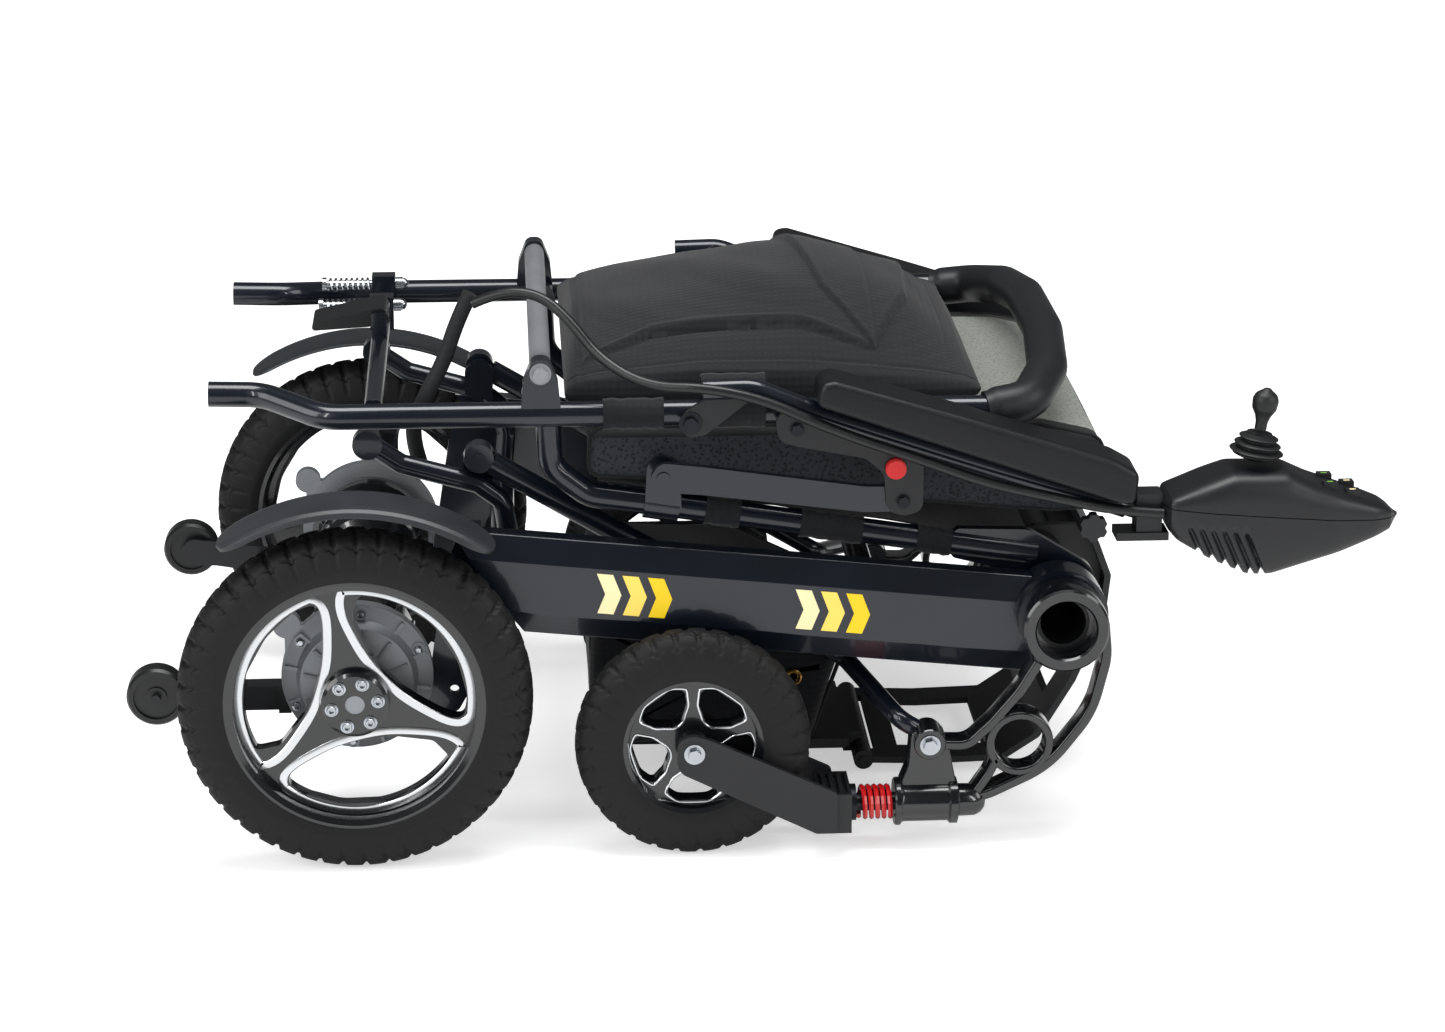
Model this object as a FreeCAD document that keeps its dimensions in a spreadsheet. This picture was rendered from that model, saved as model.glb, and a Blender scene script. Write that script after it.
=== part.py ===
import FreeCAD, Part
import math
import os
from FreeCAD import Rotation, Vector

# Folding power wheelchair, shown folded.  Millimetres, +X to the front, +Z up.
# X is measured from the drive axle while modelling; every finished piece is then
# moved so that the origin lies on the floor, under the middle of the chair.
# "right" is the user's right hand side, at -Y, where the joystick is.

doc = FreeCAD.newDocument("folding_wheelchair")

# ---------------------------------------------------------------- driving dimensions
sheet = doc.addObject("Spreadsheet::Sheet", "Dimensions")
DIMENSIONS = [
    ("axle_from_middle", -350.0, "drive axle, from the origin along X"),
    ("drive_radius", 152.5, "12 inch drive wheel"),
    ("drive_width", 56.0, "tyre width"),
    ("drive_inner", 242.0, "inner face of the drive tyre, from the middle plane"),
    ("rim_radius", 112.0, "outside of the drive rim"),
    ("rim_web", 14.0, "thickness of the spoked web"),
    ("caster_radius", 102.5, "8 inch caster wheel"),
    ("caster_width", 42.0, "caster tyre width"),
    ("caster_plane", 260.0, "middle of the caster, from the middle plane"),
    ("caster_axle_x", 290.0, "caster axle ahead of the drive axle"),
    ("anti_tip_radius", 26.0, "anti-tip roller"),
    ("beam_inner", 205.0, "inner face of the side beam"),
    ("beam_core", 19.0, "full height part of the beam section"),
    ("beam_chamfer", 11.0, "depth of the tapered outer part of the beam"),
    ("sleeve_length", 30.0, "hub sleeve at the beam's end"),
    ("hub_x", 613.0, "fold axis of the front legs"),
    ("hub_z", 201.0, "height of the fold axis, folded"),
    ("hub_bore", 26.0, "radius of the socket in the leg casting"),
    ("hub_ring", 38.0, "outside radius of the leg casting's ring"),
    ("leg_inner", 236.0, "inner face of the leg casting"),
    ("leg_thickness", 38.0, "width of the leg casting"),
    ("cane_radius", 11.0, "back cane tube"),
    ("cane_plane", 215.0, "straight part of the canes, from the middle plane"),
    ("tail_plane", 174.0, "rear ends of the canes, from the middle plane"),
    ("cane_height", 386.0, "height of the canes, folded"),
    ("seat_tube_plane", 190.0, "seat side tubes, from the middle plane"),
    ("cushion_half", 198.0, "half the width of the seat cushion"),
    ("arm_plane", 250.5, "armrest tube, from the middle plane"),
    ("pad_width", 50.0, "armrest pad"),
    ("fender_radius", 187.0, "outside of the fender band"),
    ("fender_width", 62.0, "width of the fender band"),
    ("shaft_radius", 8.5, "motor output shaft"),
    ("running_gap", 0.05, "radial clearance of a running fit"),
    ("grip_radius", 18.0, "foam grip on the push bar"),
    ("footplate_width", 170.0, "fold-up footplate"),
    ("cable_radius", 4.5, "joystick cable"),
]
for row, (alias, value, note) in enumerate(DIMENSIONS, start=1):
    sheet.set(f"A{row}", alias)
    sheet.set(f"B{row}", str(value))
    sheet.set(f"C{row}", note)
    sheet.setAlias(f"B{row}", alias)
doc.recompute()


def dim(alias):
    """The value of one driving dimension."""
    return float(getattr(sheet, alias))


AXLE_Z = dim("drive_radius")
HUB = (dim("hub_x"), dim("hub_z"))
CASTER = (dim("caster_axle_x"), dim("caster_radius"))
SIDES = (("right", -1), ("left", 1))
pieces = []


# ------------------------------------------------------------------------- helpers
def publish(label, obj):
    """Names a finished piece and lists it for export."""
    obj.Label = label
    pieces.append(obj)
    return obj


def feature(label, shape):
    """A piece whose bent shape is made directly."""
    obj = doc.addObject("Part::Feature", label)
    obj.Shape = shape
    return publish(label, obj)


def at(x, y, z):
    return Vector(x, y, z)


def rod(start, end, radius, bore=0.0):
    """Straight round bar or bush between two points."""
    start = Vector(*start)
    run = Vector(*end) - start
    solid = Part.makeCylinder(radius, run.Length, start, run)
    if bore:
        solid = solid.cut(Part.makeCylinder(bore, run.Length, start, run))
    return solid


def bent_path(points, radii):
    """Straight runs joined by tangent arcs, as a wire."""
    points = [Vector(*p) for p in points]
    edges = []
    here = points[0]
    for before, corner, after, radius in zip(points, points[1:], points[2:], radii):
        inward = (before - corner).normalize()
        onward = (after - corner).normalize()
        half = inward.getAngle(onward) / 2
        setback = radius / math.tan(half)
        first = corner + inward * setback
        last = corner + onward * setback
        bisector = (inward + onward).normalize()
        centre = corner + bisector * (radius / math.sin(half))
        middle = centre - bisector * radius
        edges.append(Part.makeLine(here, first))
        edges.append(Part.Arc(first, middle, last).toShape())
        here = last
    edges.append(Part.makeLine(here, points[-1]))
    return Part.Wire(edges)


def sweep_round(path, radius):
    """A round section carried along a wire."""
    start = path.Vertexes[0].Point
    heading = path.Edges[0].tangentAt(path.Edges[0].FirstParameter)
    ring = Part.Wire([Part.makeCircle(radius, start, heading)])
    return path.makePipeShell([ring], True, False)


def bent_tube(points, radius, bend, bore=0.0):
    """Bent tube with one bend radius, hollow when a bore is given."""
    path = bent_path(points, [bend] * (len(points) - 2))
    solid = sweep_round(path, radius)
    if bore:
        solid = solid.cut(sweep_round(path, bore))
    return solid


def rounded_outline(corners):
    """Edges of a closed outline; each corner is (u, v) or (u, v, fillet radius)."""
    count = len(corners)
    spans = []
    for i, corner in enumerate(corners):
        here = Vector(corner[0], corner[1], 0)
        radius = corner[2] if len(corner) > 2 else 0
        if not radius:
            spans.append((here, None, here))
            continue
        inward = (Vector(*corners[i - 1][:2], 0) - here).normalize()
        onward = (Vector(*corners[(i + 1) % count][:2], 0) - here).normalize()
        half = inward.getAngle(onward) / 2
        setback = radius / math.tan(half)
        bisector = (inward + onward).normalize()
        middle = here + bisector * (radius / math.sin(half) - radius)
        spans.append((here + inward * setback, middle, here + onward * setback))
    edges = []
    for i, (first, middle, last) in enumerate(spans):
        if middle:
            edges.append(Part.Arc(first, middle, last))
        following = spans[(i + 1) % count][0]
        if (following - last).Length > 1e-6:
            edges.append(Part.LineSegment(last, following))
    return edges


def plane_of(body, role):
    return [f for f in body.Origin.OriginFeatures if f.Role == role][0]


def sketch(body, role, loops, offset=0.0):
    """A sketch on one of the body's own planes; a loop is an outline or a circle."""
    drawing = body.newObject("Sketcher::SketchObject", "outline")
    drawing.AttachmentSupport = [(plane_of(body, role), "")]
    drawing.MapMode = "FlatFace"
    drawing.AttachmentOffset = FreeCAD.Placement(Vector(0, 0, offset), Rotation())
    for loop in loops:
        if loop[0] == "circle":
            centre = Vector(loop[1], loop[2], 0)
            drawing.addGeometry(Part.Circle(centre, Vector(0, 0, 1), loop[3]), False)
        else:
            drawing.addGeometry(rounded_outline(loop), False)
    return drawing


def side_plate(body_name, side, inner, thickness, loops, expression=None):
    """Plate in the X-Z plane, from `inner` outward on one side of the chair."""
    body = doc.addObject("PartDesign::Body", body_name)
    drawing = sketch(body, "XZ_Plane", loops, -side * inner)
    pad = body.newObject("PartDesign::Pad", "plate")
    pad.Profile = drawing
    pad.Length = thickness
    pad.Reversed = side > 0
    if expression:
        pad.setExpression("Length", expression)
    doc.recompute()
    return body


def turned(body_name, outline, angle=360.0):
    """Solid of revolution about the Y axis from an outline of (radius, y) corners."""
    body = doc.addObject("PartDesign::Body", body_name)
    drawing = sketch(body, "XY_Plane", [outline])
    spin = body.newObject("PartDesign::Revolution", "turning")
    spin.Profile = drawing
    spin.ReferenceAxis = (drawing, ["V_Axis"])
    spin.Angle = angle
    doc.recompute()
    return body


def solid_of(obj):
    """Shape of a helper object in the chair's coordinates."""
    doc.recompute()
    return obj.Shape.copy()


def join(label, shapes, clean=True):
    """Several shapes welded into one piece."""
    whole = shapes[0].multiFuse(shapes[1:]) if len(shapes) > 1 else shapes[0]
    cleaned = whole.removeSplitter() if clean else whole
    return feature(label, cleaned if cleaned.isValid() else whole)


def group(label, shapes):
    """Separate, like solids that share one node."""
    return feature(label, Part.makeCompound(shapes))


def hex_bolt(x, y, z, side, across=12.0, head=5.0, washer=8.0, shank=0.0, shank_radius=3.0):
    """Button of a hexagon bolt head on a washer, facing outward along Y."""
    corners = []
    for k in range(7):
        turn = math.radians(60 * k + 15)
        reach = across / 2 / math.cos(math.pi / 6)
        corners.append(Vector(x + reach * math.cos(turn), y + side * 1.5, z + reach * math.sin(turn)))
    prism = Part.Face(Part.makePolygon(corners)).extrude(Vector(0, side * head, 0))
    shape = prism.fuse(rod((x, y, z), (x, y + side * 1.5, z), washer))
    if shank:
        shape = shape.fuse(rod((x, y - side * shank, z), (x, y, z), shank_radius))
    return shape


def facet_coil(radius, wire, turns, length, per_turn=14):
    """Compression spring about Z as a ruled skin through square-on hexagons."""
    sections = []
    steps = turns * per_turn
    for k in range(steps + 1):
        turn = 2 * math.pi * k / per_turn
        centre = Vector(radius * math.cos(turn), radius * math.sin(turn), length * k / steps)
        outward = Vector(math.cos(turn), math.sin(turn), 0)
        corners = []
        for c in range(7):
            phase = math.pi / 3 * c
            corners.append(centre + outward * (wire * math.cos(phase)) + Vector(0, 0, wire * math.sin(phase)))
        sections.append(Part.makePolygon(corners))
    return Part.makeLoft(sections, True, True)


def box(low, high):
    size = [b - a for a, b in zip(low, high)]
    return Part.makeBox(size[0], size[1], size[2], Vector(*low))


# ------------------------------------------------------------- main frame: the weldment
P_LINK = (109.0, 331.0)          # upper pivot of the telescopic strut
P_LEG = (496.0, 99.0)            # lower end of the strut on the leg casting
beam_inner = dim("beam_inner")
beam_outer = beam_inner + dim("beam_core") + dim("beam_chamfer")
BEAM_START = Vector(115, 0, 240)
BEAM_DROP = 5.88                 # slope of the beam, in degrees
BEAM_HALF = 43.8
BEAM_END = 478.0                 # from the start to inside the hub sleeve
LINK_PLANE = 151.0               # rear uprights and struts, from the middle plane
frame_shapes = []
for name, side in SIDES:
    beam_body = doc.addObject("PartDesign::Body", "beam_" + name)
    shoulder = beam_inner + dim("beam_core")
    section = [(beam_inner, -BEAM_HALF, 3), (shoulder, -BEAM_HALF, 3), (beam_outer, -BEAM_HALF + 21, 3),
               (beam_outer, BEAM_HALF - 21, 3), (shoulder, BEAM_HALF, 3), (beam_inner, BEAM_HALF, 3)]
    drawing = sketch(beam_body, "YZ_Plane", [[(side * c[0],) + c[1:] for c in section]], -50)
    pad = beam_body.newObject("PartDesign::Pad", "extrusion")
    pad.Profile = drawing
    pad.Length = BEAM_END + 50
    beam_shape = solid_of(beam_body)
    beam_shape.Placement = FreeCAD.Placement(BEAM_START, Rotation(Vector(0, 1, 0), BEAM_DROP))
    rear_cut = side_plate("beam_rear_cut_" + name, side, beam_inner - 10, 60,
                          [[(73, 304), (157, 176), (10, 176), (10, 304)]])
    beam_shape = beam_shape.cut(solid_of(rear_cut))
    sleeve_out = side * (beam_inner + dim("sleeve_length") + 0.5)
    sleeve = rod((HUB[0], side * (beam_inner - 0.5), HUB[1]), (HUB[0], sleeve_out, HUB[1]), 42)
    beam = beam_shape.fuse(sleeve)
    bore = rod((HUB[0], side * 180, HUB[1]), (HUB[0], side * 290, HUB[1]), 26.05)
    frame_shapes.append(beam.cut(bore))
    # Rear upright tube: out of the lower cross tube, up and back to the rear cross tube.
    y = side * LINK_PLANE
    upright = [(128, y, 208), (133, y, 262), (129, y, 290), (108, y, 306), (41, y, 325), (12, y, 345)]
    frame_shapes.append(bent_tube(upright, 9, 14))
    # Lug and pin that carry the strut.
    lug = side_plate("strut_lug_" + name, side, 132, 8.2,
                     [[(95, 306), (95, 331, 10), (109, 344, 11), (123, 331, 8), (120, 300)]])
    frame_shapes.append(solid_of(lug))
    frame_shapes.append(rod((109, side * 134, 331), (109, side * 161, 331), 5))
    frame_shapes.append(rod((107, side * 133, 306), (107, side * 150, 306), 7))
    frame_shapes.append(rod((12, side * 146, 345), (12, side * 161, 345), 13))
    # Bracket that hangs the drive motor from the beam.
    arm = side_plate("motor_arm_" + name, side, beam_inner - 8, 8,
                     [[(78, 245, 4), (92, 282, 5), (150, 262, 5), (132, 196, 6), (86, 112, 8), (58, 118, 8)],
                      ("circle", 84, 134, 4.2)])
    frame_shapes.append(solid_of(arm))
frame_shapes.append(rod((12, -150, 337), (12, 150, 337), 7.5))
for tube_x, tube_z in ((128, 211), (455, 190)):
    frame_shapes.append(rod((tube_x, -206, tube_z), (tube_x, 206, tube_z), 11.5))
join("main_frame", frame_shapes, False)

# --------------------------------------------------------------- drive motors, gearboxes
motor_shapes = []
gearbox_shapes = []
for name, side in SIDES:
    case = turned("gearbox_case_" + name, [(0, 0), (66, 0), (66, 12), (53, 15),
                                           (49, 27), (17, 32), (16, 36), (0, 36)])
    body = solid_of(case)
    for k in range(12):
        turn = math.radians(30 * k + 10)
        rib = box((52, -1.5, 13.5), (64, 1.5, 17))
        spoke = box((20, -1.4, 26), (47, 1.4, 31))
        for web in (rib, spoke):
            web.rotate(Vector(0, 0, 0), Vector(0, 0, 1), math.degrees(turn))
            web.rotate(Vector(0, 0, 0), Vector(1, 0, 0), -90)
            body = body.fuse(web)
    for k in range(6):
        turn = math.radians(60 * k + 25)
        boss = rod((59 * math.cos(turn), 2, 59 * math.sin(turn)),
                   (59 * math.cos(turn), 16, 59 * math.sin(turn)), 6)
        body = body.fuse(boss)
    lobe = rod((-60, 2, 48), (-60, 12, 48), 12).fuse(box((-62, 2, 20), (-40, 12, 48)))
    shaft = rod((0, 30, 0), (0, 84, 0), dim("shaft_radius"))
    body = body.fuse([lobe, shaft])
    body.translate(Vector(0, 205, AXLE_Z))
    if side < 0:
        body = body.mirror(Vector(0, 0, 0), Vector(0, 1, 0))
    gearbox_shapes.append(body)
    can = turned("motor_can_" + name, [(0, 95), (30, 95), (44, 101), (48, 112), (48, 168),
                                       (56, 170), (57, 190), (50, 196), (50, 204.5), (0, 204.5)])
    can_shape = solid_of(can)
    for k in range(18):
        fin = box((47, 124, -1.2), (51.5, 164, 1.2))
        fin.rotate(Vector(0, 0, 0), Vector(0, 1, 0), 20 * k)
        can_shape = can_shape.fuse(fin)
    can_shape.translate(Vector(0, 0, AXLE_Z))
    if side < 0:
        can_shape = can_shape.mirror(Vector(0, 0, 0), Vector(0, 1, 0))
    motor_shapes.append(can_shape)
group("gearboxes", gearbox_shapes)
group("motors", motor_shapes)

# ------------------------------------------------------------------- anti-tip outriggers
anti_shapes = []
for name, side in SIDES:
    tube = box((-108, 176, 115), (-60, 196, 137)).cut(box((-110, 178.5, 117.5), (-90, 193.5, 134.5)))
    foot = box((-70, 186, 115), (-59, 204.95, 137))
    arm = side_plate("anti_tip_arm_" + name, 1, 188, 4,
                     [[(-98, 113, 3), (-98, 139, 3), (-150, 146, 6), (-175, 149, 12),
                       (-188, 136, 12), (-175, 123, 12), (-150, 122, 6)]])
    axle = rod((-175, 190, 136), (-175, 222, 136), 4)
    shape = tube.fuse([foot, solid_of(arm), axle])
    if side < 0:
        shape = shape.mirror(Vector(0, 0, 0), Vector(0, 1, 0))
    anti_shapes.append(shape)
group("anti_tip_outriggers", anti_shapes)
for name, side in SIDES:
    roller = turned("anti_tip_wheel_" + name, [(4.05, -10), (9, -10), (9, -8), (20, -8), (20, -11), (24, -11), (26, -8),
                                               (26, 8), (24, 11), (20, 11), (20, 8), (9, 8), (9, 10),
                                               (4.05, 10)])
    roller.Placement.Base = at(-175, side * 206, 136)
    publish("anti_tip_wheel_" + name, roller)

# ----------------------------------------------------------------------------- fenders
fender_shapes = []
for name, side in SIDES:
    r_out = dim("fender_radius")
    width = dim("fender_width")
    section = [(r_out - 3, 0), (r_out, 0, 1), (r_out, width - 2, 2), (r_out - 4, width, 2),
               (r_out - 14, width), (r_out - 14, width - 3), (r_out - 5, width - 3, 1), (r_out - 3, width - 5)]
    band = turned("fender_band_" + name, section, 76)
    shape = solid_of(band)
    shape.rotate(Vector(0, 0, 0), Vector(0, 1, 0), -128)
    shape.translate(Vector(0, 239, AXLE_Z))
    tab = box((96, 207, 286.8), (110, 243, 289.8)).fuse(box((100, 239, 286.8), (106, 243, 308)))
    shape = shape.fuse(tab)
    if side < 0:
        shape = shape.mirror(Vector(0, 0, 0), Vector(0, 1, 0))
    fender_shapes.append(shape)
group("fenders", fender_shapes)

# ------------------------------------------------------------------------- drive wheels
WEB_INNER = 266.0
OPENING = [(61, -72, 7), (50, -54, 14), (10, -36, 30), (-30, -32, 30), (-66, -37, 10),
           (-82, -55, 9), (-62, -76, 24), (-26, -93, 40), (14, -94, 40), (47, -84, 14)]
for name, side in SIDES:
    half = dim("drive_width") / 2
    inner = dim("drive_inner")
    tyre = turned("drive_tyre_" + name, [(113, 3), (127, 1), (146, 5), (152.5, 16), (152.5, 2 * half - 16),
                                         (146, 2 * half - 5), (127, 2 * half - 1), (113, 2 * half - 3)])
    tyre.Placement = FreeCAD.Placement(at(0, side * inner, AXLE_Z), Rotation(Vector(0, 0, 1), 0))
    if side < 0:
        tyre.Placement = FreeCAD.Placement(at(0, -inner, AXLE_Z), Rotation(Vector(0, 0, 1), 180))
    publish("drive_tyre_" + name, tyre)
    rim = turned("drive_rim_" + name, [(8.55, 6), (20, 6), (24, 20), (30, 24), (106, 24), (104, 8),
                                       (108, 4), (112.9, 4), (112.9, 52), (109, 52), (104, 50),
                                       (104, 38), (30, 38), (29, 46), (26, 48), (8.55, 48)])
    cut = rim.newObject("PartDesign::Pocket", "spoke_opening")
    cut.Profile = sketch(rim, "XZ_Plane", [OPENING])
    cut.Type = 0
    cut.Length = 60
    doc.recompute()
    before = rim.Shape.Volume
    turns = rim.newObject("PartDesign::PolarPattern", "three_openings")
    turns.Originals = [cut]
    turns.Axis = (plane_of(rim, "Y_Axis"), [""])
    turns.Angle = 360
    turns.Occurrences = 3
    rim.Tip = turns
    doc.recompute()
    print("rim", name, round(before), round(rim.Shape.Volume))
    turn = Rotation(Vector(0, 0, 1), 0 if side > 0 else 180)
    rim.Placement = FreeCAD.Placement(at(0, side * inner, AXLE_Z), turn)
    publish("drive_rim_" + name, rim)
    bolts = []
    for k in range(6):
        turn = math.radians(60 * k)
        x = 19 * math.cos(turn)
        z = AXLE_Z + 19 * math.sin(turn)
        bolts.append(hex_bolt(x, side * (inner + 48.05), z, side, 7.5, 4.5, 6))
    group("hub_bolts_" + name, bolts)

doc.recompute()

# ---------------------------------------------------------------- front legs, casters
LEG_OUTER = [(584, 201), (582, 184, 6), (556, 150, 24), (538, 124, 12), (512, 121, 16), (480, 119, 14),
             (478, 90, 10), (486, 62), (486, 42), (521, 41), (556, 43, 60), (604, 70, 70),
             (640, 112, 70), (652, 160, 60), (644, 201)]
WINDOWS = [("circle", 570, 106, 21),
           [(606, 152, 5), (626, 158, 5), (625, 132, 20), (613, 106, 4), (600, 109, 4)],
           [(572, 162, 5), (592, 157, 6), (588, 139, 6), (572, 138, 8)],
           [(530, 66, 6), (532, 92, 6), (546, 86, 8), (558, 76, 6), (548, 62, 8)]]
leg_inner = dim("leg_inner")
leg_mid = leg_inner + dim("leg_thickness") / 2
leg_outer = leg_inner + dim("leg_thickness")
STEM_Z = 42.0
SPRING_BACK = 433.0
HOUSING_BACK = 466.0
HOUSING_FRONT = 521.0
plane = dim("caster_plane")
for name, side in SIDES:
    web = side_plate("leg_web_" + name, side, leg_inner + 4, dim("leg_thickness") - 8,
                     [LEG_OUTER] + WINDOWS, "<<Dimensions>>.leg_thickness - 8")
    ring = rod((HUB[0], side * leg_inner, HUB[1]), (HUB[0], side * leg_outer, HUB[1]), dim("hub_ring"))
    boss = rod((P_LEG[0], side * (leg_mid + 7), P_LEG[1]), (P_LEG[0], side * leg_outer, P_LEG[1]), 15)
    slot = rod((502, side * 200, 108), (502, side * 258.3, 108), 42)
    housing = rod((HOUSING_BACK, side * plane, STEM_Z), (HOUSING_FRONT, side * plane, STEM_Z), 19)
    collars = [rod((x, side * plane, STEM_Z), (x + 7, side * plane, STEM_Z), 22)
               for x in (HOUSING_BACK, HOUSING_FRONT - 7)]
    neck = rod((HOUSING_FRONT - 1, side * plane, STEM_Z), (545, side * plane, STEM_Z), 14)
    far_edges = [e for e in neck.Edges if abs(e.BoundBox.XMin - 545) < 0.01 and e.BoundBox.YLength > 20]
    neck = neck.makeFillet(11, far_edges)
    leg = solid_of(web).cut(slot).fuse([ring, boss, housing, neck] + collars)
    spigot = rod((HUB[0], side * 200, HUB[1]), (HUB[0], side * 300, HUB[1]), 23.05)
    socket = rod((HUB[0], side * 250, HUB[1]), (HUB[0], side * 300, HUB[1]), dim("hub_bore"))
    blind = rod((HOUSING_BACK - 5, side * plane, STEM_Z), (516, side * plane, STEM_Z), 8)
    leg = leg.cut(spigot).cut(socket).cut(blind)
    feature("leg_casting_" + name, leg)

cross = rod((HUB[0], -235.7, HUB[1]), (HUB[0], 235.7, HUB[1]), 25.95, 21)
spigots = rod((HUB[0], -249.9, HUB[1]), (HUB[0], 249.9, HUB[1]), 23, 20)
cross_tube = cross.fuse(spigots)

caster_half = dim("caster_width") / 2
spread = caster_half + 6
for name, side in SIDES:
    stem = rod((430, side * plane, STEM_Z), (500, side * plane, STEM_Z), 7.95)
    seat_disc = rod((428, side * plane, STEM_Z), (432.5, side * plane, STEM_Z), 16)
    tip = rod((402, side * plane, STEM_Z), (430, side * plane, STEM_Z), 7)
    join("caster_stem_" + name, [stem, seat_disc, tip])
    coil = facet_coil(13.5, 2.3, 5, HOUSING_BACK - SPRING_BACK - 5.4)
    coil.rotate(Vector(0, 0, 0), Vector(0, 1, 0), 90)
    coil.translate(Vector(SPRING_BACK + 2.7, side * plane, STEM_Z))
    feature("suspension_spring_" + name, coil)
    shapes = []
    for face in (-1, 1):
        offset = plane + face * (spread + 3)
        low = min(offset - 3, offset + 3)
        arm = side_plate("fork_arm", side, low, 6,
                         [[(276, 115, 10), (290, 119, 14), (305, 114, 10), (414, 63, 6), (414, 26, 4),
                           (396, 26, 6), (275, 86, 14)], ("circle", CASTER[0], CASTER[1], 5)])
        shapes.append(solid_of(arm))
    crown = box((397, plane - spread - 1, 24), (427, plane + spread + 1, 60))
    for k in range(4):
        groove_x = 400 + 7 * k
        groove = box((groove_x, plane - spread + 4, 56), (groove_x + 3, plane + spread - 4, 61))
        crown = crown.cut(groove)
    if side < 0:
        crown = crown.mirror(Vector(0, 0, 0), Vector(0, 1, 0))
    shapes.append(crown)
    fork = shapes[0].fuse(shapes[1:])
    fork = fork.cut(rod((380, side * plane, STEM_Z), (428, side * plane, STEM_Z), 7.05))
    axle = rod((CASTER[0], side * (plane - spread - 9), CASTER[1]),
               (CASTER[0], side * (plane + spread + 9), CASTER[1]), 4.95)
    head = hex_bolt(CASTER[0], side * (plane + spread + 6), CASTER[1], side, 10, 5, 9)
    nut = hex_bolt(CASTER[0], side * (plane - spread - 6), CASTER[1], -side, 10, 5, 8)
    feature("caster_fork_" + name, fork.removeSplitter())
    feature("caster_axle_" + name, axle.fuse([head, nut]))
    tyre = turned("caster_tyre_" + name, [(62, -17), (76, -21), (93, -19), (102.5, -8), (102.5, 8),
                                          (93, 19), (76, 21), (62, 17)])
    tyre.Placement.Base = at(CASTER[0], side * plane, CASTER[1])
    publish("caster_tyre_" + name, tyre)
    rim = turned("caster_rim_" + name, [(5, -25), (11, -25), (13, -9), (55, -9), (57, -17), (61.9, -19),
                                        (61.9, 19), (57, 17), (55, 9), (13, 9), (11, 25), (5, 25)])
    window = [(23, -5, 4), (33, -18, 8), (45, -24, 7), (52, -14, 8), (52, 14, 8), (45, 24, 7), (33, 18, 8),
              (23, 5, 4)]
    cut = rim.newObject("PartDesign::Pocket", "window")
    cut.Profile = sketch(rim, "XZ_Plane", [window], 30)
    cut.Length = 60
    doc.recompute()
    turns = rim.newObject("PartDesign::PolarPattern", "five_windows")
    turns.Originals = [cut]
    turns.Axis = (plane_of(rim, "Y_Axis"), [""])
    turns.Angle = 360
    turns.Occurrences = 5
    rim.Tip = turns
    doc.recompute()
    turn = Rotation(Vector(0, 1, 0), 90)
    rim.Placement = FreeCAD.Placement(at(CASTER[0], side * plane, CASTER[1]), turn)
    publish("caster_rim_" + name, rim)

# ------------------------------------------------------------------------------- struts
strut_vec = Vector(P_LEG[0] - P_LINK[0], 0, P_LEG[1] - P_LINK[1])
strut_dir = Vector(strut_vec).normalize()


def along_strut(distance, y):
    return (P_LINK[0] + strut_dir.x * distance, y, P_LINK[1] + strut_dir.z * distance)


outer_tubes = []
rods = []
for name, side in SIDES:
    y = side * LINK_PLANE
    tube = rod(along_strut(13, y), along_strut(318, y), 10.5, 8.3)
    cap = rod(along_strut(12, y), along_strut(22, y), 10.5)
    eye = rod((P_LINK[0], y - 9, P_LINK[1]), (P_LINK[0], y + 9, P_LINK[1]), 13)
    nose = rod(along_strut(306, y), along_strut(322, y), 12.5, 8.3)
    hole = rod((P_LINK[0], y - 20, P_LINK[1]), (P_LINK[0], y + 20, P_LINK[1]), 5.1)
    outer_tubes.append(tube.fuse([cap, eye, nose]).cut(hole))
    end_y = side * (leg_mid - 7)
    slide = bent_tube([along_strut(130, y), along_strut(376, y), along_strut(424, end_y),
                       along_strut(448, end_y)], 8.2, 14)
    ball = rod((P_LEG[0], end_y - 8, P_LEG[1]), (P_LEG[0], end_y + 8, P_LEG[1]), 13)
    pin_hole = rod((P_LEG[0], end_y - 20, P_LEG[1]), (P_LEG[0], end_y + 20, P_LEG[1]), 6)
    rods.append(slide.fuse(ball).cut(pin_hole))
group("strut_tubes", outer_tubes)
group("strut_rods", rods)
leg_bolts = []
for name, side in SIDES:
    leg_bolts.append(hex_bolt(P_LEG[0], side * (leg_outer + 0.02), P_LEG[1], side, 11, 5, 9))
group("leg_bolts", leg_bolts)

# ----------------------------------------------------------------------------- footrest
PANEL = [(655, 236), (668, 222), (680, 190), (676, 150), (650, 88), (618, 34), (585, 12), (520, 10), (462, 12)]


def offset_chain(points, distance):
    """The chain of points moved sideways by a distance."""
    moved = []
    for i, point in enumerate(points):
        before = Vector(*points[max(i - 1, 0)], 0)
        after = Vector(*points[min(i + 1, len(points) - 1)], 0)
        heading = (after - before).normalize()
        moved.append((point[0] - heading.y * distance, point[1] + heading.x * distance))
    return moved


inside = offset_chain(PANEL, -6)
panel_outline = [(x, z, 5) if 0 < i < len(PANEL) - 1 else (x, z) for i, (x, z) in enumerate(PANEL)]
panel_outline += [(x, z, 5) if 0 < i < len(PANEL) - 1 else (x, z)
                  for i, (x, z) in reversed(list(enumerate(inside)))]
shell = side_plate("footrest_panel", 1, -92, 184, [panel_outline])
slot = box((600, -45, 60), (700, 45, 170))
lower_slot = box((490, -60, -5), (570, 60, 40))
notch = box((440, -70, -5), (468, 70, 30))
panel = solid_of(shell).cut(slot).cut(lower_slot).cut(notch)
webs = []
for y in (-70, 62):
    rib = side_plate("footrest_rib", 1, y, 8,
                     [[(586, 180, 6), (586, 222, 8), (613, 232, 8), (654, 232), (667, 218), (674, 190),
                       (670, 152), (650, 104), (640, 130, 10)], ("circle", HUB[0], HUB[1], 22.0)])
    webs.append(solid_of(rib))
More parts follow.
